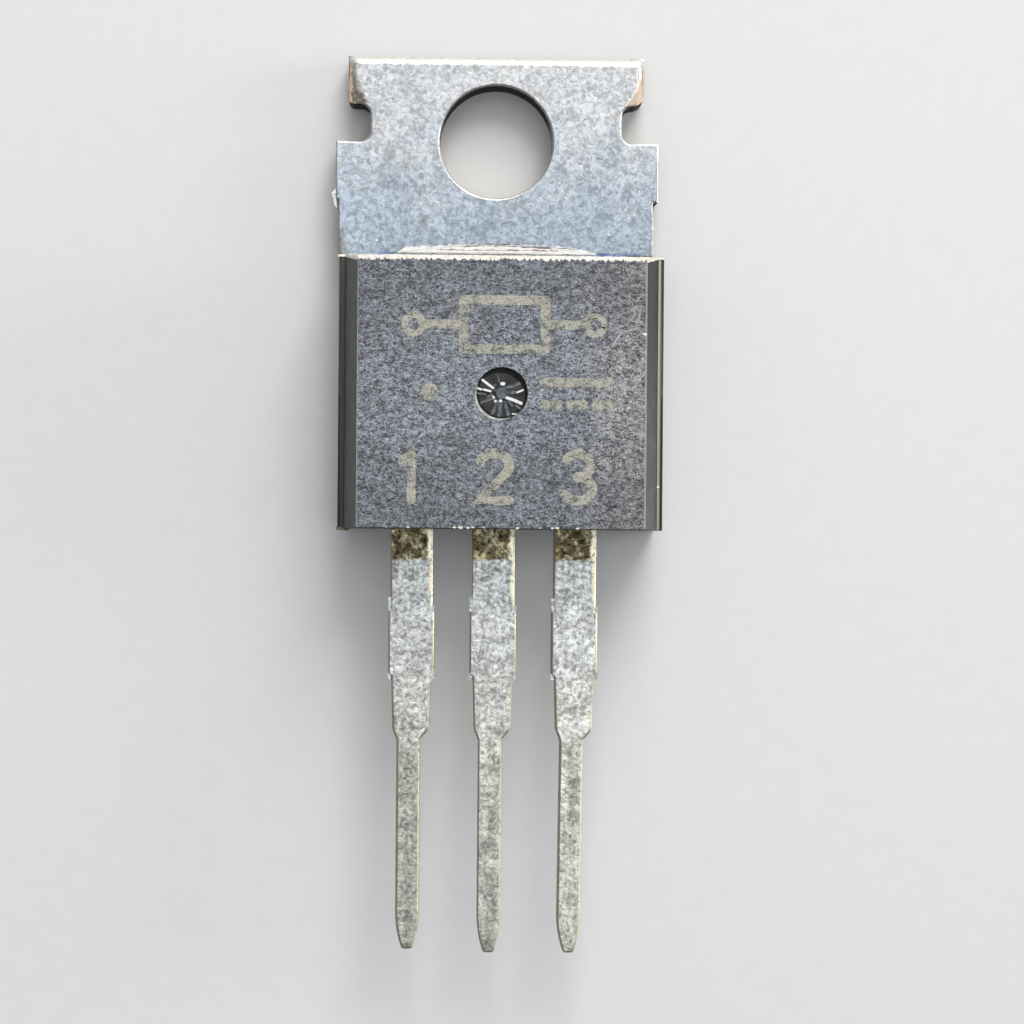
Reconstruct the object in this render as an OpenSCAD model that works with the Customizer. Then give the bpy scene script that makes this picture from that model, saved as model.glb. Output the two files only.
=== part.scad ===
// Voltage regulator in a three-lead power package with a mounting tab.
// The origin is the centre of the mounting hole, on the back face.
// X runs across the leads, Y towards the end of the tab and Z out of the front face.

/* [Tab] */
// Thickness of the tab and of the die paddle
tab_t = 1.26; // [1.1:0.02:1.5]
// Width of the end of the tab, beyond the notches
tab_end_w = 9.44; // [9:0.02:9.9]
// Distance from the hole's centre to the end of the tab
hole_to_end = 2.74; // [2.5:0.02:3.2]
// Distance from the hole's centre to the body
hole_to_body = 3.64; // [3.3:0.02:4.2]
// Diameter of the mounting hole
hole_d = 3.6; // [3.2:0.05:4]
// Width left between the floors of the two notches
notch_floor_w = 8; // [7.4:0.05:8.6]
// Height of a notch along the side of the tab
notch_h = 1.2; // [0.8:0.05:1.5]
// Distance from the end of the tab to a notch
end_to_notch = 1.56; // [1.2:0.02:2]
// Radius in the inner corners of a notch
notch_r = 0.35; // [0.1:0.05:0.4]
// Radius of the end portion's corner beside the left notch
end_corner_left_r = 0.2; // [0.1:0.05:0.6]
// Radius of the end portion's corner beside the right notch
end_corner_right_r = 0.4; // [0.1:0.05:0.6]
// Width of the tab where it meets the body
neck_w = 10.02; // [9.7:0.02:10.3]
// How far the sheared tie bar stands out past the neck on the left
tie_out_left = 0.08; // [0.02:0.02:0.3]
// How far the sheared tie bar stands out past the neck on the right
tie_out_right = 0.17; // [0.02:0.01:0.3]
// Length of the sheared tie bar along the tab
tie_l = 1.85; // [1:0.05:2.2]
// Radius of the rolled front edge across the end of the tab
end_roll_r = 0.34; // [0.1:0.02:0.5]
// Radius of the rolled front edges along the sides of the tab's end portion
side_roll_r = 0.28; // [0.1:0.02:0.38]
// Radius of the rolled front edges along the sheared tie bars
tie_roll_r = 0.06; // [0.04:0.02:0.3]

/* [Clamp mark beside the body] */
// Length of the lens-shaped mark pressed into the tab
clamp_mark_l = 6.1; // [3:0.1:8]
// Width of the mark at its middle
clamp_mark_w = 0.24; // [0.1:0.02:0.5]
// Depth of the mark
clamp_mark_d = 0.06; // [0.02:0.01:0.15]
// Distance from the mark to the body
clamp_mark_gap = 0.1; // [0.05:0.01:0.3]

/* [Moulded body] */
// Thickness of the whole package, from the back of the tab to the front face
body_t = 4.44; // [4.2:0.02:4.7]
// Length of the body along its back
body_l = 8.69; // [8.2:0.01:9.4]
// How far the body's parting line stands out past each side of the tab's neck
body_over = 0.09; // [0.05:0.01:0.3]
// How far the body sits to the right of the tab's centreline
mould_shift = 0.2; // [0:0.02:0.3]
// How far the side walls lean in from the ledge to the front face
side_wall_lean = 0.45; // [0.2:0.01:0.7]
// How far the side walls lean in from the parting line to the back face
back_draft = 0.1; // [0:0.02:0.2]
// Width of the ledge at the parting line
ledge_w = 0.2; // [0.1:0.02:0.4]
// Rounding of the lower half's rim, outside the ledge
rim_r = 0.08; // [0.02:0.01:0.1]
// How far the wall beside the tab leans back from the tab to the front face
tab_wall_lean = 0.46; // [0.1:0.02:0.8]
// How far the wall above the leads leans in from the parting line to the front face
lead_wall_lean = 0.04; // [0:0.02:0.3]
// Diameter of the ejector-pin mark in the front face
ejector_d = 1.57; // [1:0.01:2]
// Depth of the ejector-pin mark
ejector_depth = 0.1; // [0.05:0.01:0.2]
// Distance of the ejector-pin mark from the face's centre, towards the tab
ejector_up = 0.05; // [0:0.01:0.5]

/* [Leads] */
// Distance between the centrelines of neighbouring leads
lead_pitch = 2.54; // [2.5:0.01:2.6]
// Thickness of the leads
lead_t = 0.5; // [0.4:0.02:0.6]
// Height of the leads' underside above the back of the tab
lead_z = 2.5; // [2.3:0.02:2.7]
// Width of a lead where it leaves the body
lead_w = 1.33; // [1.1:0.01:1.36]
// Distance from the body to the dam-bar stubs
dam_from = 2.5; // [2:0.05:3]
// Length of the dam-bar stubs along the lead
dam_l = 2.1; // [1.5:0.05:2.5]
// Width of a lead across its dam-bar stubs
dam_w = 1.45; // [1.38:0.01:1.6]
// Length of the shank between the dam bar and the taper
shank_l = 1.54; // [1:0.02:2.2]
// Width of the shank below the dam-bar stubs
shank_w = 1.24; // [1.1:0.02:1.3]
// How much narrower the shank is at its taper
shank_taper = 0.08; // [0.02:0.02:0.14]
// Length of the torn slope below each stub on the right
tear_l = 0.22; // [0.1:0.02:0.5]
// Length of the curved taper from shank to pin
taper_l = 0.5; // [0.3:0.02:0.8]
// Length of the pin, up to its point
pin_l = 5.38; // [4:0.02:8]
// Width of the pin
pin_w = 0.74; // [0.6:0.02:0.9]
// How far the pins lie to the left of their leads' centrelines
pins_left = 0.07; // [0:0.01:0.12]
// Length of the pin's curved point
point_l = 1.16; // [0.6:0.02:1.4]
// Width of the pin's tip
tip_w = 0.32; // [0.2:0.02:0.5]
// How much shorter the input lead was cut
input_trim = 0.1; // [0:0.01:0.4]
// How far the tip of the output lead is bent to the left
output_tip_left = 0.05; // [0:0.01:0.2]

/* [Inside the body] */
// How far each side of the die paddle is set in from the tab's neck
paddle_in = 0.81; // [0.6:0.01:1.1]
// How far the paddle's coined edge is cut back, to lock it in the moulding
lock_in = 0.3; // [0.1:0.02:0.5]
// Height of the cut-back edge above the back face
lock_h = 0.45; // [0.3:0.01:0.6]
// Radius of the half-round locks in the paddle's sides
side_lock_r = 0.5; // [0.3:0.05:0.7]
// Distance from the body's end to the half-round locks
side_lock_from = 1.4; // [1.2:0.05:1.6]
// Width of the groove across the paddle
groove_w = 0.4; // [0.2:0.02:0.6]
// Depth of the groove across the paddle
groove_d = 0.2; // [0.1:0.02:0.3]
// Distance from the body's end to the groove
groove_from = 0.9; // [0.6:0.05:1.1]
// Length of the thin web between the paddle and the bend
web_l = 0.2; // [0.1:0.05:0.4]
// Width of the thin web
web_w = 2.4; // [1.6:0.05:3]
// Angle of the centre lead's bend
bend_angle = 50; // [40:1:60]
// Inner radius of the centre lead's bends
bend_r = 0.35; // [0.2:0.05:0.4]
// Length of straight centre lead held inside the body
lead_hold = 0.75; // [0.6:0.05:1]
// Distance from the paddle to the bond posts, seen from the front
post_gap = 0.5; // [0.4:0.05:0.7]
// Width of a bond post
post_w = 2.5; // [2.2:0.05:2.6]
// Length of a bond post
post_l = 1.2; // [0.9:0.05:1.4]
// Distance between a bond post and the centre lead
post_clear = 0.6; // [0.5:0.05:0.8]
// Diameter of the locking hole in a bond post
post_hole_d = 0.6; // [0.4:0.05:0.7]
// Distance from a bond post's outer edge to its locking hole
post_hole_in = 0.55; // [0.45:0.05:0.7]
// Width of the silicon die
die_w = 2.4; // [2:0.05:2.8]
// Length of the silicon die
die_l = 2.1; // [1.8:0.05:2.5]
// Thickness of the silicon die
die_t = 0.3; // [0.2:0.02:0.4]
// Thickness of the solder under the die
solder_t = 0.06; // [0.04:0.01:0.1]
// How far the solder spreads past the die
solder_out = 0.12; // [0.05:0.01:0.25]

/* [Bond wires] */
// Diameter of the input, output and ground wires
wire_d = 0.25; // [0.15:0.01:0.3]
// Diameter of the sense wire
sense_wire_d = 0.15; // [0.1:0.01:0.2]
// Height of a long wire's arc above the line between its feet
wire_rise = 0.85; // [0.6:0.05:1]
// Height of the ground wire's arc above the line between its feet
ground_wire_rise = 0.55; // [0.4:0.05:0.8]
// Distance from the die's edge to the wires' feet on it
pad_in = 0.4; // [0.3:0.02:0.5]
// Distance from a bond post's inner edge to the input or output wire's foot
post_foot_in = 0.85; // [0.7:0.05:1.1]
// Distance from the output post's inner edge to the sense wire's foot
sense_foot_in = 0.35; // [0.2:0.05:0.45]
// Distance from the die to the ground wire's foot on the paddle
ground_foot_out = 1.1; // [0.9:0.05:1.3]

/* [Hidden] */
$fn = 96;

// A cut reaches this far past the surface that it opens
over = 0.5;

// Widths that follow the tab's neck
body_w = neck_w + 2 * body_over;
face_w = body_w - 2 * (ledge_w + side_wall_lean);
paddle_w = neck_w - 2 * paddle_in;

// Places along Y
tab_end_y = hole_to_end;
notch_top_y = tab_end_y - end_to_notch;
notch_low_y = notch_top_y - notch_h;
body_top_y = -hole_to_body;
lead_end_y = body_top_y - body_l;

// Places along the leads, from the body towards the tip
dam_to = dam_from + dam_l;
taper_from = dam_to + shank_l;
taper_to = taper_from + taper_l;
point_from = taper_to + pin_l;
curve_steps = 8;

// Centre lead: its thin strip leaves flush with the paddle's front and rises to the lead plane
web_z = tab_t - lead_t;
strip_mid_z = web_z + lead_t / 2;
lead_mid_z = lead_z + lead_t / 2;
bend_steps = 12;
bend_mid_r = bend_r + lead_t / 2;
bend_rise = bend_mid_r * (1 - cos(bend_angle));
bend_run = bend_mid_r * sin(bend_angle);
ramp_l = (lead_z - web_z - 2 * bend_rise) / sin(bend_angle);
ramp_run = ramp_l * cos(bend_angle);
joggle_run = 2 * bend_run + ramp_run;
joggle_end_y = lead_end_y + lead_hold;
joggle_start_y = joggle_end_y + joggle_run;
paddle_end_y = joggle_start_y + web_l;

// Bond posts
post_top_y = paddle_end_y - post_gap;
post_low_y = post_top_y - post_l;
post_inner_x = lead_w / 2 + post_clear;
post_mid_y = (post_top_y + post_low_y) / 2;
post_top_z = lead_z + lead_t;

// Die, centred between the groove and the paddle's end
groove_y = body_top_y - groove_from;
die_y = (groove_y + paddle_end_y) / 2;
solder_top_z = tab_t + solder_t;
die_top_z = solder_top_z + die_t;
wire_pad_x = die_w / 2 - pad_in;
wire_pad_y = die_y - die_l / 2 + pad_in;
post_foot_x = post_inner_x + post_foot_in;
sense_foot_x = post_inner_x + sense_foot_in;

// Clamp mark: a thin slice of a large circle
clamp_mark_r = (pow(clamp_mark_l / 2, 2) + pow(clamp_mark_w, 2)) / (2 * clamp_mark_w);
clamp_mark_low_y = body_top_y + clamp_mark_gap;

// Front face of the body
face_top_y = body_top_y - tab_wall_lean;
face_low_y = lead_end_y + lead_wall_lean;
face_mid_y = (face_top_y + face_low_y) / 2;

// Outline of one notch, opening to the right
module notch_outline() {
    notch_x = notch_floor_w / 2;
    out_w = neck_w - notch_x;
    translate([notch_x + notch_r, notch_low_y]) square([out_w, notch_h]);
    translate([notch_x, notch_low_y + notch_r]) square([out_w, notch_h - 2 * notch_r]);
    for (y = [notch_low_y + notch_r, notch_top_y - notch_r])
        translate([notch_x + notch_r, y]) circle(r = notch_r);
}

// Sliver that rounds the end portion's corner above the notch on the right
module end_corner_sliver(r) {
    translate([tab_end_w / 2 - r, notch_top_y]) difference() {
        square([r + over, r]);
        translate([0, r]) circle(r = r);
    }
}

// Tab seen from the front, with its notches and sheared tie bars, down to the body
module tab_outline() {
    tie_low_y = notch_low_y - tie_l;
    tie_left_x = -neck_w / 2 - tie_out_left;
    tie_w = neck_w + tie_out_left + tie_out_right;
    difference() {
        union() {
            translate([-tab_end_w / 2, notch_low_y]) square([tab_end_w, tab_end_y - notch_low_y]);
            translate([tie_left_x, tie_low_y]) square([tie_w, tie_l]);
            translate([-neck_w / 2, body_top_y]) square([neck_w, notch_low_y - body_top_y]);
        }
        for (side = [0, 1]) mirror([side, 0]) {
            notch_outline();
            end_corner_sliver(side == 0 ? end_corner_right_r : end_corner_left_r);
        }
    }
}

// Cutter that rounds one straight front edge, which runs along X with the metal below it
module edge_roll(length, r) {
    rotate([90, 0, 90]) linear_extrude(length, center = true) translate([-r, tab_t - r]) difference() {
        square(r + over);
        circle(r = r);
    }
}

// Rolled front edge along one upright side of the tab, with the metal on the axis side of x
module side_roll(x, middle_y, length, r) {
    translate([x, middle_y]) rotate(x > 0 ? -90 : 90) edge_roll(length, r);
}

// Rolled front edges of the stamped tab, all on the side where the punch went in
module tab_edge_rolls() {
    end_l = end_to_notch + notch_h / 2;
    tie_mid_y = notch_low_y - tie_l / 2;
    translate([0, tab_end_y]) edge_roll(tab_end_w + over, end_roll_r);
    for (side = [-1, 1]) side_roll(side * tab_end_w / 2, tab_end_y - end_l / 2, end_l, side_roll_r);
    side_roll(-neck_w / 2 - tie_out_left, tie_mid_y, tie_l, tie_roll_r);
    side_roll(neck_w / 2 + tie_out_right, tie_mid_y, tie_l, tie_roll_r);
}

// Lens-shaped mark that the mould's clamp presses into the tab
module clamp_mark() {
    intersection() {
        translate([0, clamp_mark_low_y + clamp_mark_w - clamp_mark_r, tab_t - clamp_mark_d])
            cylinder(r = clamp_mark_r, h = clamp_mark_d + over, $fn = 360);
        translate([-clamp_mark_l, clamp_mark_low_y, tab_t - clamp_mark_d])
            cube([2 * clamp_mark_l, clamp_mark_w + over, clamp_mark_d + over]);
    }
}

// Die paddle inside the body: coined edges, half-round side locks and a groove that hold the moulding
module paddle() {
    paddle_l = body_top_y - paddle_end_y;
    difference() {
        union() {
            translate([-paddle_w / 2, paddle_end_y, lock_h]) cube([paddle_w, paddle_l, tab_t - lock_h]);
            translate([-paddle_w / 2 + lock_in, paddle_end_y + lock_in, 0])
                cube([paddle_w - 2 * lock_in, paddle_l - lock_in, lock_h]);
        }
        for (side = [-1, 1])
            translate([side * paddle_w / 2, body_top_y - side_lock_from, -over])
                cylinder(r = side_lock_r, h = tab_t + 2 * over);
        translate([-paddle_w, groove_y - groove_w / 2, tab_t - groove_d])
            cube([2 * paddle_w, groove_w, groove_d + over]);
    }
}

// Side view of the centre lead's strip where it climbs from the paddle to the lead plane.
// Each station is a place along Y, a height and the angle at which the strip climbs there.
function first_bend(angle) = [
    joggle_start_y - bend_mid_r * sin(angle),
    strip_mid_z + bend_mid_r * (1 - cos(angle)),
    angle
];
function second_bend(angle) = [
    joggle_end_y + bend_mid_r * sin(angle),
    lead_mid_z - bend_mid_r * (1 - cos(angle)),
    angle
];
function beside_strip(station, out) = [
    station[0] + out * sin(station[2]),
    station[1] + out * cos(station[2])
];

// Centre lead inside the body: a strip that bends up, ramps, bends level and runs out straight
module joggle() {
    turns = [0:bend_steps];
    stations = concat(
        [[paddle_end_y + web_l, strip_mid_z, 0]],
        [for (t = turns) first_bend(bend_angle * t / bend_steps)],
        [for (t = turns) second_bend(bend_angle * (1 - t / bend_steps))],
        [[lead_end_y, lead_mid_z, 0]]
    );
    front = [for (s = stations) beside_strip(s, lead_t / 2)];
    back = [for (i = [len(stations) - 1:-1:0]) beside_strip(stations[i], -lead_t / 2)];
    rotate([90, 0, 90]) linear_extrude(lead_w, center = true) polygon(concat(front, back));
    translate([-web_w / 2, joggle_start_y, web_z]) cube([web_w, 2 * web_l, lead_t]);
}

// Outline of a lead, as stations from the body to its tip: distance, half width and sideways place.
// A share runs from 0 at the start of the curved taper or point to 1 at its end.
function taper_station(share) = [
    taper_from + taper_l * share,
    pin_w / 2 + (shank_w - shank_taper - pin_w) * (1 + cos(180 * share)) / 4,
    -pins_left * (1 - cos(180 * share)) / 2
];
function point_station(share, trim, tip_left) = [
    point_from - trim + point_l * share,
    (pin_w - (pin_w - tip_w) * pow(share, 2)) / 2,
    -pins_left - tip_left
];
function lead_stations(trim, tip_left, tear) = concat(
    [
        [0, lead_w / 2, 0],
        [dam_from, lead_w / 2, 0],
        [dam_from, dam_w / 2, 0],
        [dam_to, dam_w / 2, 0],
        [dam_to + tear, shank_w / 2, 0]
    ],
    [for (i = [0:curve_steps]) taper_station(i / curve_steps)],
    [for (i = [0:curve_steps]) point_station(i / curve_steps, trim, tip_left)]
);

// Lead outside the body, a flat stamping that steps down to a thin pin
module outer_lead(trim = 0, tip_left = 0) {
    right_side = lead_stations(trim, tip_left, tear_l);
    left_side = lead_stations(trim, tip_left, 0);
    right = [for (s = right_side) [s[2] + s[1], lead_end_y - s[0]]];
    left = [for (s = left_side) [s[2] - s[1], lead_end_y - s[0]]];
    up_left = [for (i = [len(left) - 1:-1:0]) left[i]];
    translate([0, 0, lead_z]) linear_extrude(lead_t) polygon(concat(right, up_left));
}

// Bond post and neck inside the body, for the lead on the right
module bond_post() {
    neck_h = post_low_y - lead_end_y;
    difference() {
        union() {
            translate([lead_pitch - lead_w / 2, lead_end_y, lead_z]) cube([lead_w, neck_h, lead_t]);
            translate([post_inner_x, post_low_y, lead_z]) cube([post_w, post_l, lead_t]);
        }
        translate([post_inner_x + post_w - post_hole_in, post_mid_y, lead_z - over])
            cylinder(d = post_hole_d, h = lead_t + 2 * over);
    }
}

// Foot of a wedge bond, flat on the surface below it and pressed wider than the wire
module wire_foot(d) {
    foot_l = 2.2 * d;
    intersection() {
        rotate([90, 0, 90]) cylinder(d = 1.5 * d, h = foot_l, center = true, $fn = 32);
        translate([-foot_l, -d, 0]) cube([2 * foot_l, 2 * d, d]);
    }
}

// Bond wire: one arc in an upright plane from foot to foot, each given as a point on its surface
module bond_wire(from, to, d, rise) {
    lift = d / 2;
    span = norm([to[0] - from[0], to[1] - from[1]]);
    climb = to[2] - from[2];
    chord = norm([span, climb]);
    arc_r = (pow(chord / 2, 2) + pow(rise, 2)) / (2 * rise);
    half_angle = asin(chord / (2 * arc_r));
    heading = atan2(to[1] - from[1], to[0] - from[0]);
    translate((from + to) / 2 + [0, 0, lift]) rotate([0, 0, heading]) rotate([0, -atan2(climb, span), 0])
        rotate([90, 0, 0]) translate([0, rise - arc_r, 0]) rotate([0, 0, 90 - half_angle])
            rotate_extrude(angle = 2 * half_angle) translate([arc_r, 0]) circle(d = d, $fn = 32);
    for (place = [from, to]) translate(place) rotate([0, 0, heading]) wire_foot(d);
}

// Side view of the body: flat end against the tab, leaning wall above it, near-upright lead end
module body_side_profile() {
    polygon([
        [body_top_y, 0],
        [body_top_y, tab_t],
        [face_top_y, body_t],
        [face_low_y, body_t],
        [lead_end_y, lead_z],
        [lead_end_y, 0]
    ]);
}

// End view of the body: drafted lower half, ledge at the parting line, leaning upper half
module body_end_profile() {
    half_w = body_w / 2;
    right = [
        [half_w - back_draft, 0],
        [half_w, lead_z - rim_r],
        [half_w - rim_r, lead_z],
        [half_w - ledge_w, lead_z],
        [face_w / 2, body_t]
    ];
    left = [for (i = [4:-1:0]) [-right[i][0], right[i][1]]];
    polygon(concat(right, left));
}

// Moulding as a full block, before the pieces inside it are taken out
module body_block() {
    intersection() {
        rotate([90, 0, 90]) linear_extrude(2 * body_w, center = true) body_side_profile();
        translate([mould_shift, body_top_y + over]) rotate([90, 0, 0])
            linear_extrude(body_l + 2 * over) body_end_profile();
    }
}

module tab_and_centre_lead() {
    color("silver") {
        difference() {
            linear_extrude(tab_t) tab_outline();
            translate([0, 0, -over]) cylinder(d = hole_d, h = tab_t + 2 * over);
            tab_edge_rolls();
            clamp_mark();
        }
        paddle();
        joggle();
        outer_lead();
    }
}

module input_lead() {
    color("silver") {
        translate([-lead_pitch, 0, 0]) outer_lead(trim = input_trim);
        mirror([1, 0, 0]) bond_post();
    }
}

module output_lead() {
    color("silver") {
        translate([lead_pitch, 0, 0]) outer_lead(tip_left = output_tip_left);
        bond_post();
    }
}

module die_attach_solder() {
    color("gray") translate([-die_w / 2 - solder_out, die_y - die_l / 2 - solder_out, tab_t])
        cube([die_w + 2 * solder_out, die_l + 2 * solder_out, solder_t]);
}

module silicon_die() {
    color("slategray") translate([-die_w / 2, die_y - die_l / 2, solder_top_z]) cube([die_w, die_l, die_t]);
}

module input_bond_wire() {
    on_die = [-wire_pad_x, wire_pad_y, die_top_z];
    on_post = [-post_foot_x, post_mid_y, post_top_z];
    color("gainsboro") bond_wire(on_die, on_post, wire_d, wire_rise);
}

module output_bond_wire() {
    on_die = [wire_pad_x, wire_pad_y, die_top_z];
    on_post = [post_foot_x, post_mid_y, post_top_z];
    color("gainsboro") bond_wire(on_die, on_post, wire_d, wire_rise);
}

module sense_bond_wire() {
    on_die = [0, wire_pad_y, die_top_z];
    on_post = [sense_foot_x, post_mid_y, post_top_z];
    color("gainsboro") bond_wire(on_die, on_post, sense_wire_d, wire_rise);
}

module ground_bond_wire() {
    ground_y = die_y + die_l / 2 - pad_in;
    on_die = [-wire_pad_x, ground_y, die_top_z];
    on_paddle = [-die_w / 2 - ground_foot_out, ground_y, tab_t];
    color("gainsboro") bond_wire(on_die, on_paddle, wire_d, ground_wire_rise);
}

module moulded_body() {
    color("dimgray") difference() {
        body_block();
        translate([mould_shift, face_mid_y + ejector_up, body_t - ejector_depth])
            cylinder(d = ejector_d, h = ejector_depth + over);
        tab_and_centre_lead();
        input_lead();
        output_lead();
        die_attach_solder();
        silicon_die();
        input_bond_wire();
        output_bond_wire();
        sense_bond_wire();
        ground_bond_wire();
    }
}

tab_and_centre_lead();
input_lead();
output_lead();
moulded_body();
silicon_die();
die_attach_solder();
input_bond_wire();
output_bond_wire();
sense_bond_wire();
ground_bond_wire();
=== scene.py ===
import logging
import math
import random
from dataclasses import dataclass, field
from enum import Enum

import bpy
from mathutils import Euler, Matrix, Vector


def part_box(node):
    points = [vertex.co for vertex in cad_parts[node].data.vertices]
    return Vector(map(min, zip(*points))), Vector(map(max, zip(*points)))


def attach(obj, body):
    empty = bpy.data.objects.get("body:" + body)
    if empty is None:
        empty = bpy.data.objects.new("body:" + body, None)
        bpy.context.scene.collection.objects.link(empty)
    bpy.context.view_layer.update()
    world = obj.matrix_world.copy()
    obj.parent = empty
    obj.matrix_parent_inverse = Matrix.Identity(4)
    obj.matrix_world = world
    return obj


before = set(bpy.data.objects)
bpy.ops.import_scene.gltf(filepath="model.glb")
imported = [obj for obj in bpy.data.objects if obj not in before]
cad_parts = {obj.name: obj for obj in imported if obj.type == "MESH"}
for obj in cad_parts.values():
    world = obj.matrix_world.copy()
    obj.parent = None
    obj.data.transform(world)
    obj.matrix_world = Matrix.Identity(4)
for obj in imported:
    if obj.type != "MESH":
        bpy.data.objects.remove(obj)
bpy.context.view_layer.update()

LOG = logging.getLogger("regulator")
MM = 0.001
ROOT_BODY = "root"
LEAD_PITCH = 2.54
TAB_Z = 1.26
LEDGE_Z = 2.5

Point = tuple[float, float]
Place = tuple[float, float, float]
Colour = tuple[float, float, float, float]
Socket = bpy.types.NodeSocket
Value = Socket | float
Tint = Socket | Colour
Sockets = dict[str, Socket]


def tone(code: str) -> Colour:
    """Turns a display colour into the linear colour that a shader takes.

    Args:
        code: six hexadecimal digits, red first.

    Returns:
        Linear red, green and blue, with an alpha of one.
    """
    parts = [int(code[i:i + 2], 16) / 255 for i in (0, 2, 4)]
    linear = [c / 12.92 if c <= 0.04045 else ((c + 0.055) / 1.055) ** 2.4 for c in parts]
    return (linear[0], linear[1], linear[2], 1.0)


class Mark(Enum):
    """The plain signs printed on the front face."""

    BLOCK = "block"
    INDEX_DOT = "index_dot"
    DIRECT_CURRENT = "direct_current"
    ONE = "pin_1"
    TWO = "pin_2"
    THREE = "pin_3"


class ShaderWriter:
    """Adds nodes to one shader tree and links them as they are named."""

    def __init__(self, tree: bpy.types.NodeTree) -> None:
        """Starts on an empty tree.

        Args:
            tree: the node tree to write in.
        """
        self.tree = tree

    def put(self, kind: str, inputs: dict | None = None, **settings: str | bool) -> bpy.types.Node:
        """Adds one node.

        Args:
            kind: the node's type name, without its ShaderNode prefix.
            inputs: a value or an output socket for each input, by name or index.
            settings: properties of the node.

        Returns:
            The new node.
        """
        node = self.tree.nodes.new("ShaderNode" + kind)
        for name, value in settings.items():
            setattr(node, name, value)
        for key, value in (inputs or {}).items():
            if isinstance(value, bpy.types.NodeSocket):
                self.tree.links.new(value, node.inputs[key])
            else:
                node.inputs[key].default_value = value
        return node

    def math(self, operation: str, first: Value, second: Value = 0.0, third: Value = 0.0,
             clamp: bool = False) -> Socket:
        """Joins values by one operation and returns the result's socket."""
        inputs = {0: first, 1: second, 2: third}
        return self.put("Math", inputs, operation=operation, use_clamp=clamp).outputs[0]

    def times(self, first: Value, second: Value) -> Socket:
        """Multiplies two values and returns the result's socket."""
        return self.math("MULTIPLY", first, second)

    def apart(self, first: Value, second: Value) -> Socket:
        """Returns the socket of how far apart two values are."""
        return self.math("ABSOLUTE", self.math("SUBTRACT", first, second))

    def both(self, first: Value, second: Value) -> Socket:
        """Returns a mask that is on where both masks are."""
        return self.times(first, second)

    def either(self, first: Value, second: Value) -> Socket:
        """Returns a mask that is on where one of two masks is."""
        return self.math("MAXIMUM", first, second)

    def sway(self, value: Value, noise_value: Socket, reach: Value) -> Socket:
        """Moves a value by a noise around one half, and returns the result's socket."""
        return self.math("MULTIPLY_ADD", self.math("SUBTRACT", noise_value, 0.5), reach, value)

    def mix(self, factor: Value, first: Tint, second: Tint) -> Socket:
        """Blends two colours by a factor and returns the blend's socket."""
        return self.put("Mix", {0: factor, 6: first, 7: second}, data_type="RGBA").outputs[2]

    def blend(self, factor: Value, first: Value, second: Value) -> Socket:
        """Blends two values by a factor and returns the blend's socket."""
        return self.put("Mix", {0: factor, 2: first, 3: second}, data_type="FLOAT").outputs[0]

    def shade(self, colour: Tint, value: Value) -> Socket:
        """Lightens or darkens a colour by a value and returns the new colour's socket."""
        return self.put("VectorMath", {0: colour, "Scale": value}, operation="SCALE").outputs[0]

    def noise(self, place: Socket, scale: Value, detail: float = 3.0, roughness: float = 0.6,
              distortion: float = 0.0) -> Socket:
        """Adds a noise texture.

        Args:
            place: the surface point in millimetres.
            scale: how many swells it has in a millimetre.
            detail: how many finer layers it has.
            roughness: how strong each finer layer is.
            distortion: how far its swells are bent.

        Returns:
            The socket of its value, which lies around one half.
        """
        inputs = {"Vector": place, "Scale": scale, "Detail": detail, "Roughness": roughness,
                  "Distortion": distortion}
        return self.put("TexNoise", inputs).outputs[0]

    def step(self, value: Value, low: float, high: float, to_low: float = 0.0,
             to_high: float = 1.0) -> Socket:
        """Maps a value smoothly from one range to another and returns the result's socket."""
        inputs = {"Value": value, "From Min": low, "From Max": high, "To Min": to_low, "To Max": to_high}
        return self.put("MapRange", inputs, interpolation_type="SMOOTHSTEP").outputs[0]

    def above(self, value: Value, limit: float, soft: float) -> Socket:
        """Returns a mask that is on above a limit, blended over a soft range on both sides of it."""
        return self.step(value, limit - soft, limit + soft)

    def below(self, value: Value, limit: float, soft: float) -> Socket:
        """Returns a mask that is on below a limit, blended over a soft range on both sides of it."""
        return self.step(value, limit + soft, limit - soft)

    def band(self, value: Value, low: float, high: float, soft: float) -> Socket:
        """Returns a mask that is on between two values, with soft edges."""
        return self.both(self.above(value, low, soft), self.below(value, high, soft))

    def stretch(self, place: Socket, factors: Place, turn: float = 0.0) -> Socket:
        """Turns a place about Z, scales it along its axes and returns the new place's socket."""
        inputs = {"Vector": place, "Rotation": (0.0, 0.0, turn), "Scale": factors}
        return self.put("Mapping", inputs).outputs[0]

    def streaks(self, place: Socket, factors: Place, **settings: float) -> Socket:
        """Returns a noise that is drawn out along the axes with the smaller factors."""
        return self.noise(self.stretch(place, factors), 1.0, **settings)

    def axes(self, vector: Socket) -> tuple[Socket, ...]:
        """Splits a vector and returns the sockets of its three parts."""
        return tuple(self.put("SeparateXYZ", {0: vector}).outputs)

    def facing(self) -> tuple[Socket, ...]:
        """Returns the sockets of the surface normal's three parts."""
        return self.axes(self.put("NewGeometry").outputs["Normal"])


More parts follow.
